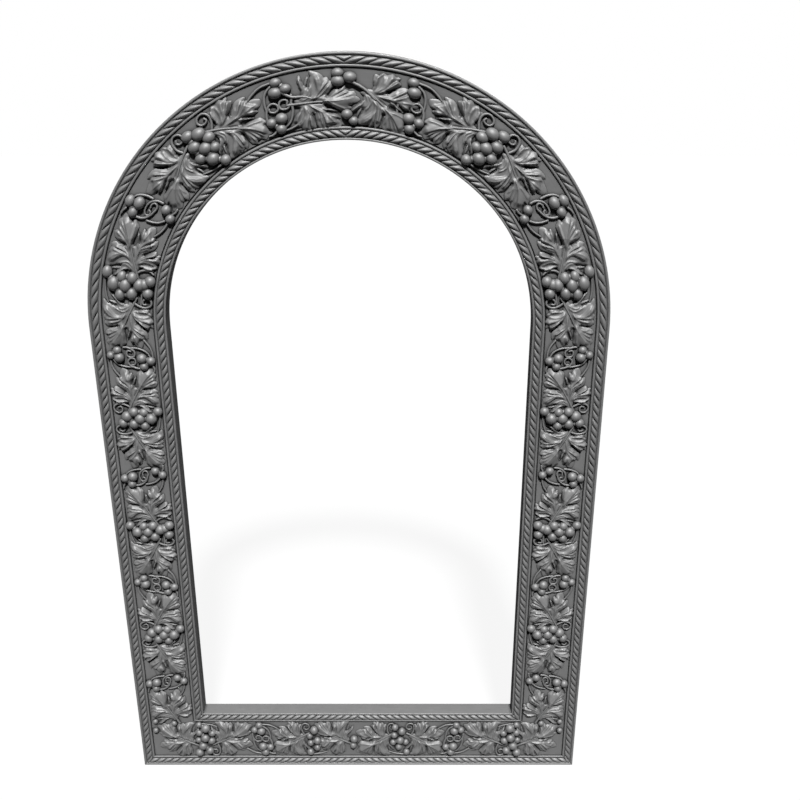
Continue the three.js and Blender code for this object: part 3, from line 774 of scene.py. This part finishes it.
# Each ridge or hollow as a line, a rise and the widths to its left and right
LEAF_FOLDS = [
    # Upper left lobe
    ([(-11, 21), (-6, 23.6), (0, 21)], 1.5, 6, 2.5),
    ([(-8.5, 15), (-6.5, 21), (-4.2, 29), (-3.2, 36)], 0.4, 0.8, 0.8),
    ([(-3, 36), (-3.6, 28), (-3, 22), (-2, 16)], 0.4, 0.8, 0.8),
    ([(-15.8, 20.6), (-10.5, 24.6), (-4.8, 31), (-3.4, 40)], 1.3, 1.3, 1.0),
    ([(-16.2, 24.8), (-10.8, 28.8), (-4.8, 33.8), (-3.2, 42)], 1.3, 1.1, 1.0),
    ([(-13, 30), (-8.6, 32.6), (-4.6, 36.4), (-3, 44)], 0.8, 0.9, 0.9),
    ([(-2.6, 34), (-1, 29.4), (1, 24), (2.2, 20)], 1.1, 1.0, 0.8),
    ([(-0.4, 30.8), (1.5, 31.2), (3.4, 30.4)], 1.3, 1.2, 1.0),
    ([(-1.4, 42), (0.8, 37), (2.4, 33.6)], -1.0, 1.0, 1.0),
    # Upper right lobe
    ([(3.4, 36), (5, 31), (5.2, 24), (6.4, 15)], 0.6, 0.9, 0.9),
    ([(2.8, 37.6), (5.4, 31), (9, 25.4), (18, 16)], 1.8, 5, 1.0),
    ([(3.4, 37), (6.8, 30.8), (12, 25.2), (20, 19)], 1.1, 1.2, 0.9),
    ([(3.6, 37.6), (7.8, 31), (13.6, 26.8), (21.4, 22.6)], 1.0, 1.2, 0.9),
    ([(4, 37.6), (9, 31.6), (15, 29.2), (22, 26.4)], 0.9, 1.1, 1.0),
    ([(3.6, 38.6), (7.4, 33.6), (12, 31.4), (18, 31)], 0.8, 0.8, 0.7),
    # Middle right lobe
    ([(2.4, 41), (6.6, 36.4), (11, 34.8), (18.4, 35)], 0.9, 0.9, 0.8),
    ([(1.4, 43.4), (5, 39.8), (10, 38), (19, 36.8)], 1.5, 1.4, 0.8),
    ([(0.8, 44.4), (4, 41.4), (11, 40.2), (20.8, 39.8)], 1.1, 1.0, 0.8),
    ([(-0.4, 46.4), (3.4, 42.6), (9, 41.6), (14, 44), (21, 49.4)], 1.6, 3.0, 1.2),
    ([(8, 41), (14, 41.8), (18.6, 44.6), (22, 49.4)], 0.6, 1.0, 1.0),
    # Lower right lobe
    ([(-2.6, 50.4), (-0.4, 47.6), (3, 45.8), (7.6, 46.8), (12.4, 50)], 1.3, 1.3, 1.0),
    ([(-2.8, 51.6), (1, 49), (4.6, 47.8), (8.8, 49)], 1.0, 0.9, 0.8),
    ([(8.6, 50.8), (13.2, 51.6), (17.4, 53.4)], 0.9, 0.9, 0.9),
    ([(-1, 51.6), (5, 51.6), (9, 54.6), (14.8, 59)], 1.2, 1.3, 0.9),
    # Left lobes
    ([(-23, 31.4), (-16, 35), (-9, 39.6), (-4.6, 46)], 1.4, 1.3, 1.0),
    ([(-20.4, 32.6), (-13, 37), (-7.4, 41), (-4.4, 46.4)], 0.8, 0.9, 0.9),
    ([(-24.6, 36), (-18.4, 38.4), (-11, 40.2), (-5, 46.6)], 1.6, 1.5, 2.0),
    ([(-22, 42.6), (-14.6, 41.8), (-8, 43.2), (-5, 47)], 0.7, 1.0, 0.9),
    ([(-11, 36.8), (-8.6, 36.2), (-6.8, 37)], 1.2, 1.2, 1.1),
    ([(-24.4, 43), (-19, 46.4), (-13, 46.6), (-6, 46.4)], 1.2, 1.2, 0.8),
    ([(-17, 48.4), (-11.6, 47.8), (-6.4, 47.8)], 0.7, 0.8, 0.8),
]
LEAF_STEM = [(-8.6, 57.5, 1.7), (-3.4, 47, 2.3), (1.6, 38.2, 2.5), (5.9, 29.6, 2.3)]
SECOND_LEAF_ALONG = 131.8

# Bunch between the two leaves of a repeat: each grape as its place and radius
BUNCH_GRAPES = [
    (-10.5, 62.2, 5.6), (-3.2, 57.6, 5.2), (2.4, 64.5, 5.8), (6.4, 58.2, 4.8), (13.3, 64.8, 5.8),
    (20.5, 57.2, 4.8), (-4.2, 70.3, 5.3), (6.6, 72.3, 4.9),
]
CURLED_BUNCH_GRAPES = [(-14.8, 69.5, 4.9)]
CURLED_BUNCH_LINES = [
    [
        (-7.5, 52), (-12.5, 49.6), (-17.5, 48.9), (-21.3, 50.5), (-22.8, 53.6), (-21.3, 57),
        (-18.1, 58.4), (-15, 57), (-14.4, 54), (-16, 51.9), (-18.4, 52.6),
    ],
    [
        (-7.6, 79.8), (-12.5, 81.6), (-17.5, 81.4), (-21.3, 79.8), (-22.8, 76.7), (-21.3, 73.7),
        (-18.1, 72.6), (-15, 74), (-14.6, 77), (-16.6, 78.6), (-18.8, 77.6),
    ],
]
SIDE_BUNCH_GRAPES = [(-20, 57.2, 5.1), (-15, 61, 4.9), (-19, 68.2, 5.0)]
SIDE_BUNCH_LINES = [
    [(-7.5, 52), (-9.4, 50.4), (-13.1, 48.8), (-17.5, 48.5), (-21.9, 50.4)],
    [
        (-7.4, 78.4), (-12.5, 80.7), (-17.5, 81.2), (-21.9, 79.4), (-23.2, 76.3), (-21.3, 73.5),
        (-17.6, 73.2), (-14.8, 75.7), (-15.4, 78.4), (-18, 78.2),
    ],
    [(-13.2, 66.6), (-13.6, 73), (-13.2, 79.6)],
]
# The stem beside a bunch
BUNCH_STEM = [(22, 59), (21.4, 66), (20.2, 73), (17.8, 79.6)]
# Tendrils between two repeats, of two kinds in turn
OPEN_TENDRIL_GRAPES = [
    (-19.6, -1.6, 4.1), (-12.8, -6.9, 4.2), (-11.6, 0.6, 5.0), (10.4, 1.6, 5.0), (18.7, 4.3, 4.5),
    (11.6, 10, 4.3),
]
OPEN_TENDRIL_LINES = [
    [
        (-6.8, -9.8), (-3, -9.4), (1, -7.6), (3.6, -4.8), (3, -0.8), (-0.2, 0.6), (-3.4, -0.8),
        (-4.2, -3.8), (-2.6, -6.2), (0, -5.4),
    ],
    [
        (9.6, 12.6), (3.8, 11.6), (-1.6, 9), (-3.6, 5.2), (-1.6, 2), (2.2, 1.8), (4, 5), (2.4, 8.2),
        (-0.2, 8.4),
    ],
    [(-17.5, 2.5), (-14.6, 6.4), (-10.2, 9), (-4, 10.4), (0.6, 10.4)],
    [(0.4, -8.8), (6, -8.6), (11, -7), (15.4, -4.2), (18.2, 0)],
    [(14, -16.6), (18.6, -10), (20.6, -4), (21, 1)],
    [(-20.4, 2), (-19.6, 9.6), (-16.4, 16), (-13, 20.4)],
    [(19.6, 8.4), (21.4, 12.4), (21.2, 15.6)],
]
LINKED_TENDRIL_GRAPES = [
    (-18.5, -0.9, 4.3), (-11.6, -5.5, 4.5), (11.9, 0.8, 5.1), (20, 2.8, 4.6), (13.5, 9.2, 4.3),
]
LINKED_TENDRIL_LINES = [
    [
        (-6.4, -8.8), (-2, -8.2), (2, -6), (4.4, -3), (5.2, 0.7), (4.4, 4.4), (2, 6.2), (-0.4, 5),
        (-0.4, 2.6), (1.4, 1.8),
    ],
    [
        (9.7, 11), (5, 10.2), (0.8, 7.7), (-1.8, 4.2), (-3, 0.8), (-3.8, -2.2), (-2.6, -4.8), (0.2, -5),
        (1.8, -2.8), (1.4, -0.4),
    ],
    [(-15, 3.2), (-11.2, 6.7), (-6.2, 8.8), (-0.6, 9.8)],
    [(3.4, -7.4), (8.8, -6.8), (13.1, -5.4), (16.3, -3.6), (18.4, -1.2)],
    [(-18.4, 3.6), (-17.8, 8.9), (-15.9, 13.9), (-12.6, 18.8)],
    [(-19.8, -11), (-19.6, -7.6), (-17.8, -4.4)],
    [(20.6, 8.6), (22.2, 11.4), (22.8, 14)],
]


def leaf():
    """The leaf with its raised stem."""
    points, faces = joined([leaf_sheet(), stem(LEAF_STEM, radius=1.2, end_radius=0.6)])
    hub = np.array([*LEAF_HUB, 0])
    return hub + (points - hub) * (LEAF_SIZE, LEAF_SIZE, 1), faces


leaf_form = leaf()


def second_leaf(across=0.0):
    """The leaf beyond the bunch, which points the other way."""
    return shifted(leaf_form, across=across, along=SECOND_LEAF_ALONG, flip_along=True)


def bunch_stem():
    return stem(BUNCH_STEM, radius=1.1, end_radius=0.8, height=0.9)


def turned_leaf(turn, across, along, flip_across):
    """The leaf set about its hub: tips towards +along, then turned towards +across."""
    points, faces = leaf_form
    x = (points[:, 0] - LEAF_HUB[0]) * (-1 if flip_across else 1)
    y = LEAF_HUB[1] - points[:, 1]
    x, y = rotated(x, y, -turn)
    return np.stack([x + across, y + along, points[:, 2]], -1), faces


def filling_grapes(grapes):
    """Small grapes low between neighbours, so that a bunch has no holes."""
    forms = []
    for first, second in itertools.combinations(np.array(grapes, float), 2):
        across, along, radius = (first + second) / 2
        if np.linalg.norm(first[:2] - second[:2]) < 2 * radius * NEIGHBOUR_REACH:
            forms.append(grape(across, along, radius * FILLING_SIZE, sides=12, levels=8))
    return forms


def grapes_and_stems(grapes, lines):
    forms = [grape(*spot) for spot in grapes] + filling_grapes(grapes)
    return joined(forms + [stem(line, radius=1.05, end_radius=0.85) for line in lines])


def bunch(curled):
    """The bunch between two leaves, with curls in every other repeat and more grapes in the rest."""
    extra = CURLED_BUNCH_GRAPES if curled else SIDE_BUNCH_GRAPES
    lines = CURLED_BUNCH_LINES if curled else SIDE_BUNCH_LINES
    return joined([grapes_and_stems(BUNCH_GRAPES + extra, lines), bunch_stem()])


def tendrils(linked, covered=False):
    """A tendril group. The crown's right leaf covers one grape and one curl of its group."""
    if covered:
        uncovered = OPEN_TENDRIL_GRAPES[:1] + OPEN_TENDRIL_GRAPES[2:]
        return grapes_and_stems(uncovered, OPEN_TENDRIL_LINES[1:])
    if linked:
        return grapes_and_stems(LINKED_TENDRIL_GRAPES, LINKED_TENDRIL_LINES)
    return grapes_and_stems(OPEN_TENDRIL_GRAPES, OPEN_TENDRIL_LINES)


def full_spray(curled):
    """One repeat of the vine, closed by its tendrils."""
    closing = shifted(tendrils(linked=curled), along=VINE_REPEAT, flip_across=True)
    return joined([leaf_form, bunch(curled), second_leaf(), closing])


# Grapes beside the last leaf of each stile
FOOT_GRAPES = [(-2.4, 58.3, 3.6), (18.9, 56, 3.2), (19.5, 68.6, 3.4)]
# Bottom rail, in the same measures as a repeat
CORNER_GRAPES = [
    (21, 59.6, 3.8), (16.3, 66.9, 5.3), (9.9, 59.4, 4.2), (9.1, 74, 4.2), (2.7, 65.8, 5.2),
    (-0.5, 57.9, 4.0), (-1.3, 72.6, 4.6), (-8.5, 62.4, 5.2), (-18.2, 57.8, 5.0), (-15.8, 69.8, 4.6),
]
CORNER_TENDRILS = 130.0
LEFT_MIDDLE_GRAPES = [
    (-13.9, 64.4, 5.2), (-5.1, 58.6, 3.9), (1.3, 67.9, 4.8), (4.5, 59.6, 4.2), (10.9, 67.6, 4.4),
    (6.9, 75.2, 3.6), (17.4, 59.2, 4.6), (-0.8, 113, 4.7), (8.1, 111.8, 4.3),
]
RIGHT_MIDDLE_GRAPES = [
    (-17.4, 72.3, 4.3), (-11.9, 63.8, 4.8), (-6.5, 73.1, 4.2), (0.9, 66.1, 4.8), (3.6, 74.6, 4.1),
    (3.6, 59.1, 4.0), (10.1, 67.6, 4.4), (17.5, 58.2, 4.2),
]
LEFT_MIDDLE_LEAF = 52.8
# Crown, along from the middle of the arch: each leaf's turn, place and hand
CROWN_LEAVES = [(10.5, 1.8, 23.7, False), (32, 1.7, -24, True)]
CROWN_STEMS = [
    [(-13.4, 3.5), (-7.6, 13.5), (0.6, 22.4)],
    [(-11.5, -45), (-5, -38.3), (-3, -29), (0.5, -22)],
]
CROWN_GRAPES = [
    (-20, -4.4, 4.2), (-13.4, -4.4, 4.8), (-16.4, 3.5, 4.8), (14.5, 1.5, 4.5), (20, 6.7, 4.0),
]


def crown_spray():
    """Two leaves that both point right, with small grapes between and tendrils at both ends."""
    forms = [turned_leaf(*parts) for parts in CROWN_LEAVES]
    forms += [stem(points, radius=1.3, end_radius=1.1, height=2.4) for points in CROWN_STEMS]
    forms += [grape(*spot) for spot in CROWN_GRAPES]
    forms += [
        shifted(tendrils(linked=False), along=-FIRST_TENDRILS, flip_along=True),
        shifted(tendrils(linked=False, covered=True), along=FIRST_TENDRILS),
    ]
    return joined(forms)


def foot_spray():
    return joined([leaf_form] + [grape(*spot) for spot in FOOT_GRAPES])


def corner_spray():
    """Two leaves and a bunch with one curl, closed by open tendrils."""
    return joined([
        leaf_form,
        grapes_and_stems(CORNER_GRAPES, CURLED_BUNCH_LINES[1:]),
        bunch_stem(),
        second_leaf(across=1.5),
        shifted(tendrils(linked=False), across=1, along=CORNER_TENDRILS, flip_across=True),
    ])


def middle_spray(side):
    """Two leaves and a small bunch. On the left, the inner leaf grows from the rail's middle grapes."""
    if side < 0:
        inner_leaf = shifted(leaf_form, across=-2.5, along=LEFT_MIDDLE_LEAF, flip_across=True)
        carved = grapes_and_stems(LEFT_MIDDLE_GRAPES, CURLED_BUNCH_LINES[:1])
    else:
        inner_leaf = second_leaf()
        carved = grapes_and_stems(RIGHT_MIDDLE_GRAPES, CURLED_BUNCH_LINES)
    return joined([leaf_form, inner_leaf, carved, bunch_stem()])


def add_spray(node, form, place):
    """A spray, smooth but for the steep walls round its leaves."""
    add_carving(node, form, place, LEAF_SHARP_ANGLE)


def add_vine():
    add_spray("vine_spray_crown", crown_spray(), on_side(1, 1, 0))
    sprays = {1: full_spray(curled=True), -1: full_spray(curled=False)}
    for side_name, side in SIDES.items():
        for index in range(REPEATS_BELOW_CROWN + 1):
            mirror = 1 if index % 2 == 0 else -1
            start = FIRST_TENDRILS + index * VINE_REPEAT
            spray = sprays[mirror] if index < REPEATS_BELOW_CROWN else foot_spray()
            add_spray(f"vine_spray_{side_name}_{index + 1}", spray, on_side(side, mirror, start))
        corner = on_rail(side, 1, CORNER_BUNCH, 1)
        add_spray(f"vine_spray_bottom_{side_name}_outer", corner_spray(), corner)
        middle = on_rail(side, -1, MIDDLE_BUNCH, MIDDLE_STRETCH)
        add_spray(f"vine_spray_bottom_{side_name}_inner", middle_spray(side), middle)


# Hardware, in millimetres and degrees

BUTTON_RADIUS = 4.5
BUTTON_TIP = 9.5
BUTTON_HOLE = 1.8
BUTTON_BACK = -2.3
BUTTON_FRONT = -4.5
BUTTON_ROUND = 0.55
BUTTON_END_STEPS = 21
BUTTON_PIVOTS = {
    "left_lower": (-191, 149), "left_upper": (-191, 369),
    "right_lower": (191, 149), "right_upper": (191, 369),
    "bottom": (0, 38), "crown": (0, 701),
}
TURNED_BUTTONS = ("bottom", "crown")
BUTTON_SCREW_SEAT = -2.0

SCREW_LENGTH = 12.0
SCREW_POINT = 2.5
SCREW_CORE = 1.15
SCREW_THREAD = 0.35
SCREW_PITCH = 1.2
SCREW_HEAD = 3.2
SCREW_RIM = 0.4
SCREW_DOME = 1.2
SCREW_SIDES = 32
SCREW_LEVELS = 73
SCREW_TIP = 0.1
DOME_LAST_ANGLE = 86
DOME_STEPS = 12
SLOT_HALF_WIDTH = 0.42
SLOT_FLOOR = 0.45
SLOT_TURN = 47
HANGER_SLOT_TURN = 20

HANGER_X = 229
STRAP_END = 420
STRAP_HALF_WIDTH = 6.0
STRAP_HALF_THICK = 0.6
STRAP_EDGE = 0.25
STRAP_HOLE = 1.8
STRAP_HOLE_REACH = 4
STRAP_HOLE_SIDES = 48
STRAP_FIRST_ANGLE = 8
STRAP_END_STEPS = 12
STRAP_LAST_ANGLE = -120
BARREL_STEPS = 41
HANGER_SCREW_SEAT = -6.1
HANGER_SCREWS = {"lower": 425, "upper": 436}
BAR_Y = -4.8
BAR_Z = 464
BARREL_MIDDLE = 2.2
RING_WIRE = 1.3
RING_HALF_WIDTH = 11.3
RING_CORNER = 2.0
RING_LEG = 7.3
RING_GAP = 1.2
RING_SIDES = 16
RING_BAR_STEPS = 6
RING_CORNER_STEPS = 7
RING_BOW_STEPS = 25


def circle(centre, radius, first, last, steps):
    """Points on an arc, from one angle in degrees to another."""
    angle = np.radians(np.linspace(first, last, steps))
    return np.stack([centre[0] + radius * np.cos(angle), centre[1] + radius * np.sin(angle)], -1)


def turn_button(pivot, turned):
    """A round-ended plate with softened edges and a countersunk pivot hole."""

    def outline_inset(inset):
        tip = circle((0, BUTTON_TIP), BUTTON_RADIUS - inset, 0, 180, BUTTON_END_STEPS)
        heel = circle((0, 0), BUTTON_RADIUS - inset, 180, 360, BUTTON_END_STEPS)
        return np.vstack([tip, heel])

    edge = outline_inset(0)
    hole = edge / np.linalg.norm(edge, axis=1)[:, None]
    rings = [
        (hole * BUTTON_HOLE, BUTTON_FRONT),
        (hole * BUTTON_HOLE, BUTTON_BACK - BUTTON_ROUND),
        (hole * (BUTTON_HOLE + BUTTON_ROUND), BUTTON_BACK),
    ]
    for face, way, angles in [(BUTTON_BACK, -1, (0, 30, 60, 90)), (BUTTON_FRONT, 1, (90, 45, 0))]:
        for angle in np.radians(angles):
            inset = BUTTON_ROUND * (1 - math.sin(angle))
            rings.append((outline_inset(inset), face + way * BUTTON_ROUND * (1 - math.cos(angle))))
    x, z = pivot
    layers = []
    for ring, y in rings:
        sideways, lengthways = (ring[:, 1], -ring[:, 0]) if turned else ring.T
        layers.append(np.stack([x + sideways, np.full(len(ring), y), z + lengthways], -1))
    faces = grid_faces(len(layers), len(edge), closed_rows=True, closed_columns=True)
    return np.vstack(layers), faces


def slotted_screw():
    """A round-head wood screw on the upright axis, its head seated at height 0."""
    turn = np.linspace(0, 2 * np.pi, SCREW_SIDES, endpoint=False)
    layers = []
    for height in np.linspace(-SCREW_LENGTH, 0, SCREW_LEVELS):
        thread = np.abs(2 * np.mod(height / SCREW_PITCH - turn / (2 * np.pi), 1) - 1)
        taper = np.clip(SCREW_TIP + (height + SCREW_LENGTH) / SCREW_POINT, 0, 1)
        layers.append((height, taper * (SCREW_CORE + SCREW_THREAD * thread)))
    layers.append((0, np.full(SCREW_SIDES, SCREW_HEAD)))
    for angle in np.radians(np.linspace(0, DOME_LAST_ANGLE, DOME_STEPS)):
        height = SCREW_RIM + SCREW_DOME * math.sin(angle)
        layers.append((height, np.full(SCREW_SIDES, SCREW_HEAD * math.cos(angle))))
    rings = [
        np.stack([radius * np.cos(turn), radius * np.sin(turn), np.full(SCREW_SIDES, height)], -1)
        for height, radius in layers
    ]
    blank = new_object("slotted_screw", *swept(np.array(rings)))
    finish_mesh(blank.data)
    past = 2 * SCREW_HEAD
    cut(blank, box_cutter((-past, -SLOT_HALF_WIDTH, SLOT_FLOOR), (past, SLOT_HALF_WIDTH, past)))
    points = np.array([vertex.co for vertex in blank.data.vertices])
    faces = [list(face.vertices) for face in blank.data.polygons]
    bpy.data.objects.remove(blank)
    return points, faces


def seated(form, place, seat, slot_angle):
    """The screw driven from the back, with its slot left at an angle."""
    points, faces = form
    x, y, height = points.T
    across, along = rotated(x, y, slot_angle)
    return np.stack([place[0] + across, seat + height, place[1] + along], -1), faces


def strap(x):
    """A steel strip with a round end, rolled into a barrel about the ring's bar."""
    tail_y = BAR_Y - BARREL_MIDDLE
    stations = []
    for angle in np.radians(np.linspace(STRAP_FIRST_ANGLE, 90, STRAP_END_STEPS)):
        reach = STRAP_HALF_WIDTH * (1 - math.cos(angle))
        stations.append((tail_y, STRAP_END + reach, 180, STRAP_HALF_WIDTH * math.sin(angle)))
    stations.append((tail_y, BAR_Z - 2 * BARREL_MIDDLE, 180, STRAP_HALF_WIDTH))
    for angle in np.linspace(180, STRAP_LAST_ANGLE, BARREL_STEPS):
        y, z = circle((BAR_Y, BAR_Z), BARREL_MIDDLE, angle, angle, 1)[0]
        stations.append((y, z, angle, STRAP_HALF_WIDTH))
    sections = []
    for y, z, angle, half in stations:
        flat = half - STRAP_EDGE
        thin = STRAP_HALF_THICK - STRAP_EDGE
        corners = np.array([
            (-flat, -STRAP_HALF_THICK), (flat, -STRAP_HALF_THICK), (half, -thin), (half, thin),
            (flat, STRAP_HALF_THICK), (-flat, STRAP_HALF_THICK), (-half, thin), (-half, -thin),
        ])
        across, thick = corners.T
        lean = math.radians(angle)
        outline = [x + across, y + thick * math.cos(lean), z + thick * math.sin(lean)]
        sections.append(np.stack(outline, -1))
    return swept(np.array(sections))


def round_cutter(x, z, radius, low, high):
    last_angle = 360 - 360 / STRAP_HOLE_SIDES
    ring = circle((x, z), radius, 0, last_angle, STRAP_HOLE_SIDES)
    layers = [np.stack([ring[:, 0], np.full(len(ring), y), ring[:, 1]], -1) for y in (low, high)]
    cutter = new_object("hole_cutter", *swept(np.array(layers) * MM))
    finish_mesh(cutter.data)
    return cutter


def hanger_ring(x):
    """A bent wire whose two ends meet inside the strap's barrel."""
    corner = RING_HALF_WIDTH - RING_CORNER
    bend = circle((corner, -RING_CORNER), RING_CORNER, 90, 0, RING_CORNER_STEPS)
    bow = circle((0, -RING_LEG), RING_HALF_WIDTH, 0, -90, RING_BOW_STEPS)
    run = np.linspace(RING_GAP * RING_WIRE, corner, RING_BAR_STEPS)[:-1]
    bar = np.stack([run, np.zeros_like(run)], -1)
    half = np.vstack([bar, bend, bow])
    line = np.vstack([half, half[-2::-1] * (-1, 1)])
    flat = np.column_stack([line, np.zeros(len(line))])
    points, faces = tube(flat, RING_WIRE, RING_WIRE, RING_SIDES)
    across, along, out = points.T
    return np.stack([x + across, BAR_Y + out, BAR_Z + along], -1), faces


def add_metal(node, form, body=ROOT):
    return add_piece(node, form, lambda points: points * MM, zinc, body)


def add_hardware():
    screw = slotted_screw()
    for count, (name, pivot) in enumerate(BUTTON_PIVOTS.items()):
        add_metal(f"turn_button_{name}", turn_button(pivot, name in TURNED_BUTTONS), f"button_{name}")
        driven = seated(screw, pivot, BUTTON_SCREW_SEAT, count * SLOT_TURN)
        add_metal(f"button_screw_{name}", driven)
    for side_name, side in SIDES.items():
        x = side * HANGER_X
        plate = add_metal(f"hanger_strap_{side_name}", strap(x))
        for count, (level, z) in enumerate(HANGER_SCREWS.items()):
            cut(plate, round_cutter(x, z, STRAP_HOLE, BAR_Y - STRAP_HOLE_REACH, BAR_Y))
            slot_angle = HANGER_SLOT_TURN + (count + side) * SLOT_TURN
            driven = seated(screw, (x, z), HANGER_SCREW_SEAT, slot_angle)
            add_metal(f"hanger_screw_{side_name}_{level}", driven)
        finish_mesh(plate.data)
        add_metal(f"hanger_ring_{side_name}", hanger_ring(x), f"ring_{side_name}")


# Stage, light and camera


def seen_directly(tree, place):
    """1 for rays from the camera or a clear surface, and for gloss from the backdrop's side."""
    path = tree.nodes.new("ShaderNodeLightPath")
    depth = add_node(tree, "ShaderNodeSeparateXYZ", "Y", {"Vector": place})
    backdrop = ranged(tree, depth, -0.1, 0.3, 0, 1)
    gloss = combined(tree, "MULTIPLY", path.outputs["Is Glossy Ray"], backdrop)
    rays = path.outputs["Is Camera Ray"], path.outputs["Is Transmission Ray"]
    return combined(tree, "MAXIMUM", combined(tree, "MAXIMUM", *rays), gloss)


def add_floor():
    reach = 6.0
    corners = np.array([(x, y, foot) for x, y in [(-1, -1), (1, -1), (1, 1), (-1, 1)]])
    floor = new_object("floor", corners * (reach, reach, 1), [(0, 1, 2, 3)])
    material, tree = new_material("pale_floor")
    shader = tree.nodes["Principled BSDF"]
    seen = seen_directly(tree, add_node(tree, "ShaderNodeNewGeometry", "Position"))
    set_inputs(tree, shader, {
        "Base Color": mixed_colour(tree, seen, (0.03, 0.03, 0.03), (0.9, 0.9, 0.9)),
        "Roughness": 0.9,
        "Specular IOR Level": 0.0,
    })
    glow = add_node(tree, "ShaderNodeEmission", "Emission", {"Color": (1, 1, 1, 1), "Strength": 1})
    layers = {"Fac": ranged(tree, seen, 0, 1, 0, 0.9), 1: shader.outputs["BSDF"], 2: glow}
    surface = add_node(tree, "ShaderNodeMixShader", "Shader", layers)
    set_inputs(tree, tree.nodes["Material Output"], {"Surface": surface})
    floor.data.materials.append(material)


def add_world():
    world = bpy.data.worlds.new("studio")
    world.use_nodes = True
    tree = world.node_tree
    seen = seen_directly(tree, add_node(tree, "ShaderNodeTexCoord", "Generated"))
    ambient = 0.006
    strength = ranged(tree, seen, 0, 1, ambient, 1)
    set_inputs(tree, tree.nodes["Background"], {"Strength": strength, "Color": (1, 1, 1, 1)})
    bpy.context.scene.world = world


def add_sun(name, direction, strength, softness):
    """A far soft lamp that shines from the given direction."""
    lamp = bpy.data.lights.new(name, "SUN")
    lamp.energy = strength
    lamp.angle = math.radians(softness)
    holder = scene_object(name, lamp)
    holder.rotation_euler = Vector(direction).to_track_quat("Z", "Y").to_euler()


def add_camera():
    camera = bpy.data.cameras.new("camera")
    camera.lens = 41.49
    camera.sensor_width = 36
    holder = scene_object("camera", camera)
    holder.location = (0.0485, -0.8774, 0.7688)
    pitch = 21.32
    holder.rotation_euler = (math.radians(90 - pitch), 0, 0)
    bpy.context.scene.camera = holder


add_members()
add_ropes()
add_vine()
add_hardware()
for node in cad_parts:
    if "spline" in node:
        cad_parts[node].data.materials.clear()
        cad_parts[node].data.materials.append(bare_wood)

add_floor()
add_world()
add_sun("key", direction=(0.06, -0.6, 0.8), strength=4.35, softness=6)
add_sun("back", direction=(0.1, 0.9, 0.5), strength=1.2, softness=10)
add_camera()
bpy.context.scene.view_settings.view_transform = "Standard"
